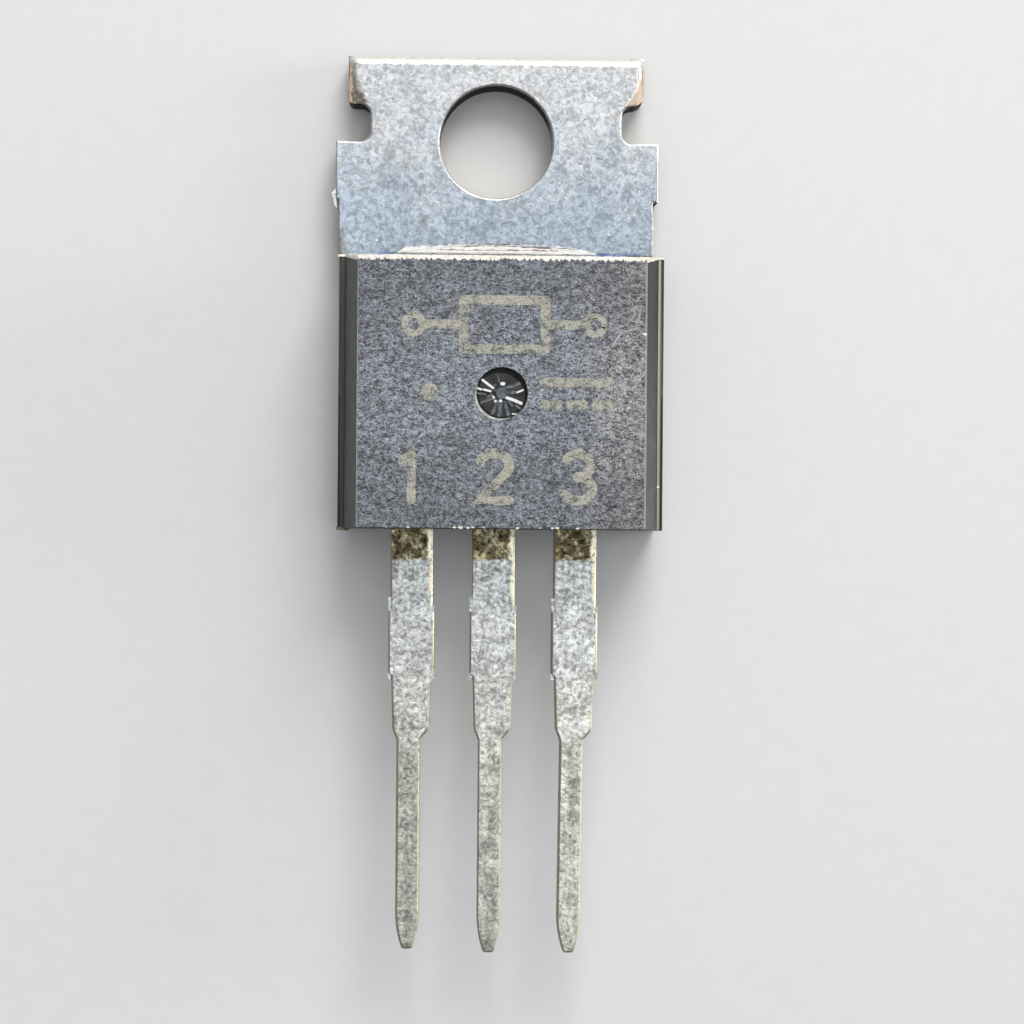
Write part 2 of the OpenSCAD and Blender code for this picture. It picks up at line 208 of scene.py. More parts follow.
class SharedEffects:
    """Shader groups that more than one material uses."""

    def __init__(self) -> None:
        """Builds each group once."""
        self.blasted = self._blasted_grain()
        self.mottle = self._plating_mottle()
        self.nicks = self._nicks()
        self.edges = self._stamped_edges()

    @staticmethod
    def _start(name: str, numbers: dict[str, float],
               outputs: tuple[str, ...]) -> tuple[ShaderWriter, bpy.types.Node, bpy.types.Node]:
        """Makes an empty group that takes a place in millimetres and some numbers.

        Args:
            name: the group's name.
            numbers: its number inputs with their defaults.
            outputs: names of its outputs.

        Returns:
            A writer for the group, its input node and its output node.
        """
        tree = bpy.data.node_groups.new(name, "ShaderNodeTree")
        tree.interface.new_socket("Place", in_out="INPUT", socket_type="NodeSocketVector")
        for label, default in numbers.items():
            socket = tree.interface.new_socket(label, in_out="INPUT", socket_type="NodeSocketFloat")
            socket.default_value = default
        for label in outputs:
            tree.interface.new_socket(label, in_out="OUTPUT", socket_type="NodeSocketFloat")
        return ShaderWriter(tree), tree.nodes.new("NodeGroupInput"), tree.nodes.new("NodeGroupOutput")

    def _blasted_grain(self) -> bpy.types.NodeTree:
        """Builds the grain of a spark-eroded mould.

        Returns:
            The group, which puts out the grain's height and how far it glints.
        """
        writer, taken, given = self._start("Blasted grain", {"Grain mm": 0.05}, ("Height", "Glint"))
        place = writer.stretch(taken.outputs["Place"], (0.8, 1.15, 1.0))
        scale = writer.math("DIVIDE", 1.0, taken.outputs["Grain mm"])
        fine = writer.noise(place, scale, detail=1.0, roughness=0.5, distortion=1.4)
        broad = writer.noise(place, writer.times(scale, 0.4), detail=2.0)
        height = writer.sway(fine, broad, 0.6)
        writer.tree.links.new(height, given.inputs["Height"])
        writer.tree.links.new(writer.step(height, 0.28, 0.82), given.inputs["Glint"])
        return writer.tree

    def _plating_mottle(self) -> bpy.types.NodeTree:
        """Builds the mottle of dull plating.

        Returns:
            The group, which puts out clouds, curled shading, dark pits and bright flakes.
        """
        writer, taken, given = self._start(
            "Plating mottle", {"Cloud mm": 1.2, "Curl mm": 0.14, "Blotches": 0.5},
            ("Clouds", "Shade", "Pits", "Flakes"))
        place = taken.outputs["Place"]
        cloud_scale = writer.math("DIVIDE", 1.0, taken.outputs["Cloud mm"])
        curl_scale = writer.math("DIVIDE", 1.0, taken.outputs["Curl mm"])
        clouds = writer.noise(place, cloud_scale, distortion=0.4)
        curls = writer.noise(place, curl_scale, distortion=0.7)
        blotches = writer.noise(place, writer.times(curl_scale, 0.3), detail=2.0, distortion=0.6)
        curls = writer.sway(curls, blotches, taken.outputs["Blotches"])
        pits = writer.noise(place, writer.times(curl_scale, 0.62), detail=2.0, distortion=0.8)
        flakes = writer.noise(place, writer.times(curl_scale, 0.8), detail=2.0, roughness=0.65,
                              distortion=1.6)
        writer.tree.links.new(writer.step(clouds, 0.3, 0.7), given.inputs["Clouds"])
        writer.tree.links.new(curls, given.inputs["Shade"])
        writer.tree.links.new(writer.step(pits, 0.34, 0.25), given.inputs["Pits"])
        writer.tree.links.new(writer.step(flakes, 0.66, 0.74), given.inputs["Flakes"])
        return writer.tree

    def _nicks(self) -> bpy.types.NodeTree:
        """Builds sparse short scratches that run in two directions.

        Returns:
            The group, which puts out their mask.
        """
        writer, taken, given = self._start("Nicks", {"Spacing mm": 1.0, "Width": 0.012}, ("Lines",))
        scale = writer.math("DIVIDE", 1.0, taken.outputs["Spacing mm"])
        total = None
        for turn in (0.5, 2.1):
            place = writer.stretch(taken.outputs["Place"], (1.0, 0.3, 1.0), turn)
            wave = writer.noise(place, scale, detail=2.0, roughness=0.5, distortion=0.8)
            off_line = writer.apart(wave, 0.5)
            share = writer.math("DIVIDE", off_line, taken.outputs["Width"])
            line = writer.math("SUBTRACT", 1.0, share, clamp=True)
            here = writer.noise(place, writer.times(scale, 2.6), detail=1.0, roughness=0.5)
            line = writer.both(line, writer.step(here, 0.58, 0.66))
            total = line if total is None else writer.either(total, line)
        writer.tree.links.new(total, given.inputs["Lines"])
        return writer.tree

    def _stamped_edges(self) -> bpy.types.NodeTree:
        """Builds the masks of stamped metal's edges.

        Returns:
            The group, which puts out rounded front edges, upright sides, and which edges are lit; the lit
            mask chooses where highlight and shade are painted on the edges.
        """
        writer, taken, given = self._start("Stamped edges", {"Waver": 0.12}, ("Rounded", "Upright", "Lit"))
        right, beyond, up = writer.facing()
        _, along, _ = writer.axes(taken.outputs["Place"])
        lit = writer.step(writer.math("MULTIPLY_ADD", right, 0.7, beyond), -0.1, 0.25)
        writer.tree.links.new(writer.either(lit, writer.step(along, 2.4, 2.6)), given.inputs["Lit"])
        ragged = writer.noise(taken.outputs["Place"], 6.0)
        waver = writer.times(writer.math("SUBTRACT", ragged, 0.5), taken.outputs["Waver"])
        up = writer.math("ADD", up, waver)
        rounded = writer.both(writer.step(up, 0.15, 0.4), writer.step(up, 0.99, 0.93))
        writer.tree.links.new(rounded, given.inputs["Rounded"])
        writer.tree.links.new(writer.step(writer.math("ABSOLUTE", up), 0.3, 0.12), given.inputs["Upright"])
        return writer.tree


@dataclass(frozen=True)
class Surface:
    """The sockets and constants that one Principled surface takes."""

    colour: Socket
    roughness: Value
    height: Socket
    bump_mm: float
    metallic: Value = 0.0
    ior: float = 1.5


class MaterialWriter(ShaderWriter):
    """Writes one material, with its surface point and the shared shader groups at hand."""

    def __init__(self, name: str, effects: SharedEffects) -> None:
        """Starts an empty node material.

        Args:
            name: the material's name.
            effects: the shared shader groups.
        """
        self.material = bpy.data.materials.new(name)
        self.material.use_nodes = True
        self.material.node_tree.nodes.clear()
        super().__init__(self.material.node_tree)
        self.effects = effects
        self.place = self.shade(self.put("TexCoord").outputs["Object"], 1 / MM)

    def use(self, group: bpy.types.NodeTree, **numbers: float) -> Sockets:
        """Places one of the shared groups over the surface point.

        Args:
            group: the group.
            numbers: values of its number inputs, with underscores for spaces.

        Returns:
            The group's output sockets, by name.
        """
        node = self.tree.nodes.new("ShaderNodeGroup")
        node.node_tree = group
        self.tree.links.new(self.place, node.inputs["Place"])
        for label, value in numbers.items():
            node.inputs[label.replace("_", " ")].default_value = value
        return {socket.name: socket for socket in node.outputs}

    def finish(self, surface: Surface) -> None:
        """Adds the bump, the shader and the output.

        Args:
            surface: what the shader takes.
        """
        bump = self.put("Bump", {"Height": surface.height, "Distance": surface.bump_mm * MM})
        shader = self.put("BsdfPrincipled", {
            "Base Color": surface.colour, "Roughness": surface.roughness, "Normal": bump.outputs[0],
            "Metallic": surface.metallic, "IOR": surface.ior})
        self.put("OutputMaterial", {"Surface": shader.outputs[0]})


class Finish:
    """A material that pieces are dressed in."""

    def build(self, name: str, effects: SharedEffects) -> bpy.types.Material:
        """Builds the material.

        Args:
            name: the material's name.
            effects: the shared shader groups.

        Returns:
            The finished material.
        """
        writer = MaterialWriter(name, effects)
        writer.finish(self.surface(writer))
        return writer.material

    def surface(self, writer: MaterialWriter) -> Surface:
        """Makes what the shader takes, which each finish does in its own way.

        Args:
            writer: the material's writer.

        Returns:
            The sockets and constants of the surface.
        """
        raise NotImplementedError


@dataclass(frozen=True)
class TabPlating:
    """Dull tin plate on the stamped tab, warmer at its end and cooler towards the body: the change is a
    painted reflection of the surroundings.
    """

    warm_tin_reflection: Colour = tone("c1c2c3")
    cool_tin_reflection: Colour = tone("a2adb8")
    pit: Colour = tone("6a6f78")
    nick: Colour = tone("7c8794")
    flake: Colour = tone("f4f4f3")
    # The next two colours paint rounded edges: a highlight where they face the lights, shade where they face
    # away.
    rim: Colour = tone("f6f3ea")
    rim_shade: Colour = tone("b5afa8")
    shaded_lobe_brown: Colour = tone("5f584c")
    lobe_brown: Colour = tone("8f8475")
    copper: Colour = tone("e3c9ad")
    peach: Colour = tone("d3bfab")
    cream: Colour = tone("f6eedd")
    stain: Colour = tone("7c6f68")
    blue: Colour = tone("7386ad")
    warm_y: float = 1.6
    cool_y: float = -2.8
    pale_x: Point = (-3.2, -4.4)
    curl_mm: float = 0.15
    edge_x: float = 4.72
    lobe_y: Point = (1.2, 2.55)
    left_limit: Point = (-4.5, 0.26)
    right_limit: Point = (4.62, -0.28)
    corner_stain: Point = (-4.8, -2.9)
    clamp_line_y: Point = (-3.63, -3.52)
    clamp_line_x: Point = (3.15, 4.6)
    left_line_x: Point = (-3.75, -3.2)

    def colour(self, writer: MaterialWriter, mottle: Sockets) -> Socket:
        """Makes the colour of the tab's front.

        Args:
            writer: the material's writer.
            mottle: the plating mottle's sockets.

        Returns:
            The colour's socket.
        """
        across, along, _ = writer.axes(writer.place)
        # The plate is painted warmer at the end and cooler towards the body, a painted reflection of the
        # surroundings.
        drift = writer.sway(along, mottle["Clouds"], 2.2)
        colour = writer.mix(writer.step(drift, self.warm_y, self.cool_y), self.warm_tin_reflection, self.cool_tin_reflection)
        colour = writer.shade(colour, writer.step(across, *self.pale_x, 1.0, 1.1))
        colour = self._stains(writer, across, along, colour)
        colour = writer.shade(colour, writer.step(mottle["Shade"], 0.28, 0.72, 0.66, 1.29))
        colour = writer.mix(writer.times(mottle["Pits"], 0.5), colour, self.pit)
        lines = writer.use(writer.effects.nicks, Spacing_mm=0.8, Width=0.014)["Lines"]
        colour = writer.mix(writer.times(lines, 0.4), colour, self.nick)
        return writer.mix(writer.times(mottle["Flakes"], 0.6), colour, self.flake)

    def _stains(self, writer: MaterialWriter, across: Socket, along: Socket, colour: Tint) -> Socket:
        """Adds the brown stain at the lower left and the blue lines beside the clamp mark.

        Args:
            writer: the material's writer.
            across: the surface point's X.
            along: its Y.
            colour: the colour without them.

        Returns:
            The colour with them.
        """
        patches = writer.noise(writer.place, 4.0)
        corner_x, corner_y = self.corner_stain
        brown = writer.both(writer.below(writer.sway(across, patches, 0.5), corner_x, 0.1),
                            writer.below(along, corner_y, 0.2))
        colour = writer.mix(writer.times(brown, 0.75), colour, self.stain)
        beside = writer.either(writer.band(across, *self.clamp_line_x, 0.15),
                               writer.band(across, *self.left_line_x, 0.1))
        line = writer.band(writer.sway(along, patches, 0.06), *self.clamp_line_y, 0.02)
        return writer.mix(writer.both(writer.times(beside, 0.8), line), colour, self.blue)

    def lobes(self, writer: MaterialWriter, shade: Socket, colour: Tint) -> tuple[Socket, ...]:
        """Adds the worn sides of the end portion: tan and brown on the left, peach on the right; the left's
        dark brown is also painted shade of its rolled edge.

        Args:
            writer: the material's writer.
            shade: the mottle's shading.
            colour: the colour without them.

        Returns:
            The colour with them, and a mask of where the plate is worn off.
        """
        across, along, _ = writer.axes(writer.place)
        ragged = writer.noise(writer.place, 5.0)
        side = writer.sway(across, ragged, 0.3)
        low_y, high_y = self.lobe_y
        drop = writer.math("SUBTRACT", high_y, along)
        here = writer.both(writer.above(along, low_y, 0.03), writer.step(drop, -0.05, 0.25))
        square = writer.times(drop, drop)
        limit = writer.math("MULTIPLY_ADD", square, self.left_limit[1], self.left_limit[0])
        depth = writer.math("SUBTRACT", limit, side)
        strong = writer.step(drop, 0.1, 0.9, 0.3, 0.95)
        left = writer.both(writer.both(writer.step(depth, -0.08, 0.14), here), strong)
        # The darker brown is worn plate and also painted shade on the roll that faces away from the lights.
        brown = writer.mix(writer.step(ragged, 0.38, 0.62), self.shaded_lobe_brown, self.lobe_brown)
        brown = writer.shade(brown, writer.step(shade, 0.3, 0.7, 0.6, 1.3))
        colour = writer.mix(left, colour, brown)
        rim = writer.both(writer.step(side, 0.17 - self.edge_x, 0.08 - self.edge_x), here)
        colour = writer.mix(rim, colour, self.copper)
        limit = writer.math("MULTIPLY_ADD", square, self.right_limit[1], self.right_limit[0])
        depth = writer.math("SUBTRACT", side, limit)
        peach = writer.mix(writer.step(depth, 0.02, 0.09), self.cream, self.peach)
        right = writer.both(writer.step(depth, -0.04, 0.05), here)
        worn = writer.either(writer.either(left, rim), right)
        return writer.mix(right, colour, peach), worn


@dataclass(frozen=True)
class LeadPlating:
    """Mottled solder plate on the leads, with bare darkened metal next to the body."""

    shoulder: Colour = tone("bcc0bf")
    dam: Colour = tone("cdcfcc")
    shank: Colour = tone("d4d3cc")
    pin: Colour = tone("d8d6cb")
    dull: Colour = tone("85827a")
    flake: Colour = tone("ffffff")
    bare: Colour = tone("4a4230")
    olive: Colour = tone("9a9576")
    gold_fleck_and_highlight: Colour = tone("fffae0")
    # The next two colours paint rounded edges: a highlight where they face the lights, shade where they face
    # away; the first also paints the highlight band on the right edges.
    rim: Colour = tone("f8efcd")
    rim_shade: Colour = tone("a8957f")
    dam_y: Point = (-14.4, -15.3)
    shank_y: Point = (-16.4, -17.4)
    pin_y: Point = (-18.2, -19.6)
    left_pin: float = 0.84
    right_lead: float = 1.09
    right_highlight_x: Point = (0.53, 0.58)
    right_highlight_y: Point = (-14.9, -14.3)
    bare_to_y: float = -13.28
    right_highlight_from: float = 0.44
    curl_mm: float = 0.13

    def colour(self, writer: MaterialWriter, mottle: Sockets) -> Socket:
        """Makes the colour of a lead's front.

        Args:
            writer: the material's writer.
            mottle: the plating mottle's sockets.

        Returns:
            The colour's socket.
        """
        across, along, _ = writer.axes(writer.place)
        at_pin = writer.step(along, *self.pin_y)
        colour = self._tones(writer, across, along, at_pin)
        across = writer.math("WRAP", across, LEAD_PITCH / 2, -LEAD_PITCH / 2)
        streaks = writer.streaks(writer.place, (3.0, 0.5, 1.0))
        middle = writer.step(writer.math("ABSOLUTE", writer.sway(across, streaks, 0.4)), 0.26, 0.06)
        worn = writer.both(writer.both(middle, at_pin), writer.step(streaks, 0.38, 0.55))
        colour = writer.mix(writer.times(worn, 0.45), colour, self.dull)
        colour = writer.mix(writer.step(mottle["Clouds"], 0.3, 1.0, 0.0, 0.28), colour, self.dull)
        colour = writer.shade(colour, writer.step(mottle["Shade"], 0.26, 0.74, 0.5, 1.46))
        colour = writer.mix(writer.times(mottle["Pits"], 0.6), colour, self.dull)
        colour = writer.mix(writer.times(mottle["Flakes"], 0.8), colour, self.flake)
        ragged = writer.noise(writer.place, 3.4, roughness=0.65)
        # A cream band along each lead's right edge near the body is a painted highlight from the lights at
        # the right.
        cream = writer.both(writer.step(writer.sway(across, ragged, 0.2), *self.right_highlight_x),
                            writer.step(along, *self.right_highlight_y))
        broken = writer.step(mottle["Shade"], 0.3, 0.5, 0.35, 0.95)
        colour = writer.mix(writer.both(cream, broken), colour, self.rim)
        edge = writer.sway(along, ragged, 0.34)
        is_bare = writer.above(edge, self.bare_to_y, 0.05)
        return writer.mix(is_bare, colour, self._bare_colour(writer, across, ragged, mottle))

    def _tones(self, writer: MaterialWriter, across: Socket, along: Socket, at_pin: Socket) -> Socket:
        """Makes the tones that change along each lead and from lead to lead.

        Args:
            writer: the material's writer.
            across: the surface point's X.
            along: its Y.
            at_pin: the mask of the thin pins.

        Returns:
            The colour's socket.
        """
        colour = writer.mix(writer.step(along, *self.dam_y), self.shoulder, self.dam)
        colour = writer.mix(writer.step(along, *self.shank_y), colour, self.shank)
        colour = writer.mix(at_pin, colour, self.pin)
        is_left = writer.step(across, -LEAD_PITCH / 2, -LEAD_PITCH / 2 - 0.1)
        colour = writer.shade(colour, writer.step(writer.both(at_pin, is_left), 0.0, 1.0, 1.0, self.left_pin))
        return writer.shade(colour, writer.step(across, 1.2, 1.4, 1.0, self.right_lead))

    def _bare_colour(self, writer: MaterialWriter, across: Socket, ragged: Socket, mottle: Sockets) -> Socket:
        """Makes the colour of the bare band, with gold flecks, and a broken gold band along its right edge
        that is a painted highlight.

        Args:
            writer: the material's writer.
            across: X from the lead's own middle.
            ragged: the noise that breaks its edges.
            mottle: the plating mottle's sockets.

        Returns:
            The colour's socket.
        """
        patches = writer.noise(writer.place, 2.6, roughness=0.65)
        colour = writer.mix(writer.step(patches, 0.42, 0.62, 0.0, 0.9), self.bare, self.olive)
        colour = writer.shade(colour, writer.step(mottle["Shade"], 0.25, 0.75, 0.3, 2.3))
        flecks = writer.both(writer.step(mottle["Flakes"], 0.0, 0.5), writer.step(patches, 0.4, 0.52))
        # The gold band along the right edge is a painted highlight from the lights at the right.
        edge = writer.step(writer.sway(across, ragged, 0.36), self.right_highlight_from, self.right_highlight_from + 0.1)
        broken = writer.step(mottle["Shade"], 0.32, 0.5, 0.2, 1.0)
        return writer.mix(writer.either(flecks, writer.both(edge, broken)), colour, self.gold_fleck_and_highlight)


@dataclass(frozen=True)
class ShearedSides:
    """The upright sides of stamped metal: burnished plate in front, torn copper behind."""

    burnished: Colour = tone("a79c8e")
    torn: Colour = tone("5b473a")
    shaded: Colour = tone("1d1613")
    torn_from: float = 0.45

    def colour(self, writer: MaterialWriter, is_lead: Socket, mottle: Sockets) -> tuple[Socket, ...]:
        """Makes the colour of the sides.

        Args:
            writer: the material's writer.
            is_lead: the mask of the leads.
            mottle: the plating mottle's sockets.

        Returns:
            The colour's socket, and a mask of the sides that face the leads' end, in shadow.
        """
        _, _, height = writer.axes(writer.place)
        above = writer.math("SUBTRACT", height, writer.times(is_lead, 2.4))
        streaks = writer.streaks(writer.place, (9.0, 9.0, 0.9))
        torn = writer.below(writer.sway(above, streaks, 0.9), self.torn_from, 0.15)
        torn = writer.times(torn, writer.math("MULTIPLY_ADD", is_lead, -0.6, 1.0))
        colour = writer.mix(torn, self.burnished, self.torn)
        colour = writer.shade(colour, writer.step(mottle["Shade"], 0.3, 0.7, 0.6, 1.3))
        # Sides that face the leads' end are painted near black: painted shade.
        _, beyond, _ = writer.facing()
        turned_away = writer.step(beyond, 0.1, -0.5)
        return writer.mix(turned_away, colour, self.shaded), turned_away


@dataclass(frozen=True)
class MetalFinish(Finish):
    """The plated metal of the header and the leads."""

    tab: TabPlating = TabPlating()
    lead: LeadPlating = LeadPlating()
    sides: ShearedSides = ShearedSides()
    lead_from_y: float = -11.0
    bump_mm: float = 0.012

    def surface(self, writer: MaterialWriter) -> Surface:
        """Joins the plating of the tab and of the leads with their sides and edges.

        Args:
            writer: the material's writer.

        Returns:
            The sockets and constants of the surface.
        """
        _, along, _ = writer.axes(writer.place)
        mottle = writer.use(writer.effects.mottle, Cloud_mm=1.4, Curl_mm=self.tab.curl_mm, Blotches=0.38)
        lead_mottle = writer.use(writer.effects.mottle, Cloud_mm=0.8, Curl_mm=self.lead.curl_mm,
                                 Blotches=0.5)
        edges = writer.use(writer.effects.edges, Waver=0.16)
        is_lead = writer.below(along, self.lead_from_y, 0.1)
        tab = self.tab.colour(writer, mottle)
        lead = self.lead.colour(writer, lead_mottle)
        colour = writer.mix(is_lead, tab, lead)
        # Rounded edges take a painted highlight where they face the lights and painted shade where they face
        # away.
        tab_rim_light_and_shade = writer.mix(edges["Lit"], self.tab.rim_shade, self.tab.rim)
        lead_rim_light_and_shade = writer.mix(edges["Lit"], self.lead.rim_shade, self.lead.rim)
        rounded = writer.both(edges["Rounded"], writer.step(lead_mottle["Shade"], 0.25, 0.6, 0.3, 0.9))
        colour = writer.mix(rounded, colour, writer.mix(is_lead, tab_rim_light_and_shade, lead_rim_light_and_shade))
        colour, worn = self.tab.lobes(writer, mottle["Shade"], colour)
        sides, turned_away = self.sides.colour(writer, is_lead, mottle)
        colour = writer.mix(edges["Upright"], colour, sides)
        dull = writer.either(worn, writer.both(edges["Upright"], turned_away))
        metallic = writer.step(dull, 0.0, 1.0, 0.9, 0.15)
        rough = writer.either(writer.step(lead_mottle["Shade"], 0.3, 0.7, 0.5, 0.3), writer.both(dull, 0.8))
        relief = writer.blend(is_lead, mottle["Shade"], lead_mottle["Shade"])
        relief = writer.math("MULTIPLY_ADD", mottle["Pits"], -0.25, relief)
        return Surface(colour, rough, relief, self.bump_mm, metallic)


@dataclass(frozen=True)
class MouldingFinish(Finish):
    """Mineral-filled epoxy: blasted faces and smooth drafted walls."""

    pore: Colour = tone("303237")
    glint: Colour = tone("a9adb5")
    right_glint: Colour = tone("b6b2b0")
    face_rim: Colour = tone("aaa3a2")
    wall: Colour = tone("2d2f2e")
    wall_worn: Colour = tone("3d3c39")
    ledge: Colour = tone("aeac94")
    ledge_dark: Colour = tone("67644e")
    left_ledge: Colour = tone("4a463d")
    rim: Colour = tone("3d3a2e")
    grain_mm: float = 0.06
    face_x: Point = (-4.25, 4.65)
    middle_y: float = -8.15
    ledge_to_z: float = 2.56
    ledge_from_z: float = 2.44
    rim_from_z: float = 2.36
    pale_ledge_x: float = 5.18
    paler_glint_from_x: float = 3.4
    paler_y: Point = (-4.5, -11.5)
    middle_z: float = 2.2
    faces_from: Point = (1.6, 1.8)
    bump_mm: float = 0.02

    def face_colour(self, writer: MaterialWriter, grain: Sockets) -> Socket:
        """Makes the colour of the blasted face.

        Args:
            writer: the material's writer.
            grain: the blasted grain's sockets.

        Returns:
            The colour's socket.
        """
        across, along, _ = writer.axes(writer.place)
        clouds = writer.noise(writer.place, 0.8)
        # The grain is painted in dark pores and bright glints, the glints a painted highlight; towards the
        # right side the glints are paler.
        worn = writer.above(writer.sway(across, clouds, 3.0), self.paler_glint_from_x, 1.2)
        glint = writer.mix(worn, self.glint, self.right_glint)
        colour = writer.mix(grain["Glint"], self.pore, glint)
        colour = writer.shade(colour, writer.step(clouds, 0.3, 0.7, 0.88, 1.13))
        from_middle = writer.apart(along, self.middle_y)
        colour = writer.shade(colour, writer.step(from_middle, 0.8, 3.6, 1.15, 0.88))
        left, right = self.face_x
        rim = writer.either(writer.step(across, left + 0.07, left + 0.03, 0.0, 0.5),
                            writer.step(across, right - 0.09, right - 0.04, 0.0, 0.8))
        return writer.mix(rim, colour, self.face_rim)

    def _wall_colour(self, writer: MaterialWriter) -> Socket:
        """Makes the colour of the smooth walls and of the ledge on the parting line.

        Args:
            writer: the material's writer.

        Returns:
            The colour's socket.
        """
        across, along, height = writer.axes(writer.place)
        _, _, up = writer.facing()
        streaks = writer.streaks(writer.place, (4.0, 1.6, 0.6), detail=4.0, roughness=0.65)
        colour = writer.mix(writer.step(streaks, 0.4, 0.66), self.wall, self.wall_worn)
        is_right = writer.step(across, -1.0, 1.0)
        paler = writer.step(along, *self.paler_y, 0.4, 2.1)
        colour = writer.shade(colour, writer.blend(is_right, 1.45, paler))
        at_ledge = writer.band(height, self.ledge_from_z, self.ledge_to_z, 0.01)
        fine = writer.noise(writer.stretch(writer.place, (1.0, 6.0, 1.0)), 2.0)
        inner = writer.below(writer.sway(across, fine, 0.05), self.pale_ledge_x, 0.02)
        inner = writer.both(inner, writer.step(fine, 0.25, 0.5, 0.5, 1.0))
        ledge = writer.mix(inner, self.ledge_dark, self.ledge)
        ledge = writer.mix(is_right, self.left_ledge, ledge)
        colour = writer.mix(writer.both(at_ledge, writer.step(up, 0.9, 0.97)), colour, ledge)
        at_rim = writer.band(height, self.rim_from_z, self.ledge_to_z, 0.02)
        rim = writer.both(at_rim, writer.band(up, 0.3, 0.9, 0.05))
        return writer.mix(rim, colour, self.rim)

    def surface(self, writer: MaterialWriter) -> Surface:
        """Joins the blasted faces and the smooth walls.

        Args:
            writer: the material's writer.

        Returns:
            The sockets and constants of the surface.
        """
        _, _, height = writer.axes(writer.place)
        _, beyond, up = writer.facing()
        grain = writer.use(writer.effects.blasted, Grain_mm=self.grain_mm)
        flat = writer.step(writer.math("ABSOLUTE", up), 0.8, 0.95)
        outside = writer.step(writer.apart(height, self.middle_z), *self.faces_from)
        is_face = writer.both(flat, outside)
        colour = writer.mix(is_face, self._wall_colour(writer), self.face_colour(writer, grain))
        rough = writer.blend(writer.step(beyond, 0.6, 0.8), writer.step(is_face, 0.0, 1.0, 0.6, 0.46), 0.3)
        streaks = writer.streaks(writer.place, (6.0, 6.0, 1.0))
        relief = writer.blend(is_face, writer.times(streaks, 0.1), grain["Height"])
        return Surface(colour, rough, relief, self.bump_mm, ior=1.45)


@dataclass(frozen=True)
class InkFinish(Finish):
    """Worn pale marking ink over the blasted face."""

    ink: Colour = tone("b4b1a2")
    worn: Colour = tone("9a988d")
    face: MouldingFinish = MouldingFinish()
    rough: float = 0.62
    bump_mm: float = 0.03

    def surface(self, writer: MaterialWriter) -> Surface:
        """Lays patchy ink over the blasted face.

        Args:
            writer: the material's writer.

        Returns:
            The sockets and constants of the surface.
        """
        grain = writer.use(writer.effects.blasted, Grain_mm=self.face.grain_mm)
        bare = self.face.face_colour(writer, grain)
        patchy = writer.noise(writer.place, 2.0, detail=4.0, roughness=0.7)
        ink = writer.mix(writer.step(patchy, 0.45, 0.65), self.ink, self.worn)
        ink = writer.shade(ink, writer.step(grain["Height"], 0.3, 0.7, 0.72, 1.15))
        gone = writer.step(writer.sway(grain["Height"], patchy, -1.1), 0.46, 0.26, 0.0, 0.8)
        colour = writer.mix(gone, ink, bare)
        return Surface(colour, self.rough, grain["Height"], self.bump_mm)


@dataclass(frozen=True)
class PlainFinish(Finish):
    """A lightly mottled finish for the small pieces and the sealed ones."""

    light: Colour
    dark: Colour
    rough: float
    metallic: float = 0.0
    mottle_mm: float = 0.2
    bump_mm: float = 0.003

    def surface(self, writer: MaterialWriter) -> Surface:
        """Mottles one tone with another.

        Args:
            writer: the material's writer.

        Returns:
            The sockets and constants of the surface.
        """
        mottle = writer.use(writer.effects.mottle, Cloud_mm=self.mottle_mm, Curl_mm=self.mottle_mm / 2)
        colour = writer.mix(mottle["Clouds"], self.light, self.dark)
        rough = writer.step(mottle["Shade"], 0.0, 1.0, self.rough, self.rough + 0.12)
        return Surface(colour, rough, mottle["Shade"], self.bump_mm, self.metallic)


@dataclass(frozen=True)
class FloorPaper(Finish):
    """The matte pale paper of the studio floor."""

    light: Colour = tone("e4e4e2")
    dark: Colour = tone("dededc")
    bump_mm: float = 0.004

    def surface(self, writer: MaterialWriter) -> Surface:
        """Gives the paper a faint fibre.

        Args:
            writer: the material's writer.

        Returns:
            The sockets and constants of the surface.
        """
        fibre = writer.noise(writer.place, 1.5, detail=4.0)
        colour = writer.mix(fibre, self.light, self.dark)
        return Surface(colour, writer.step(fibre, 0.0, 1.0, 0.75, 0.85), fibre, self.bump_mm)


@dataclass(frozen=True)
class SoftEdges:
    """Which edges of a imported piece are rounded, and how far."""

    width: float
    segments: int
    hidden: tuple[Place, Place]
    corner_width: float = 0.0
    corner_from: Point = (0.0, 0.0)
    pinch_at: Point | None = None


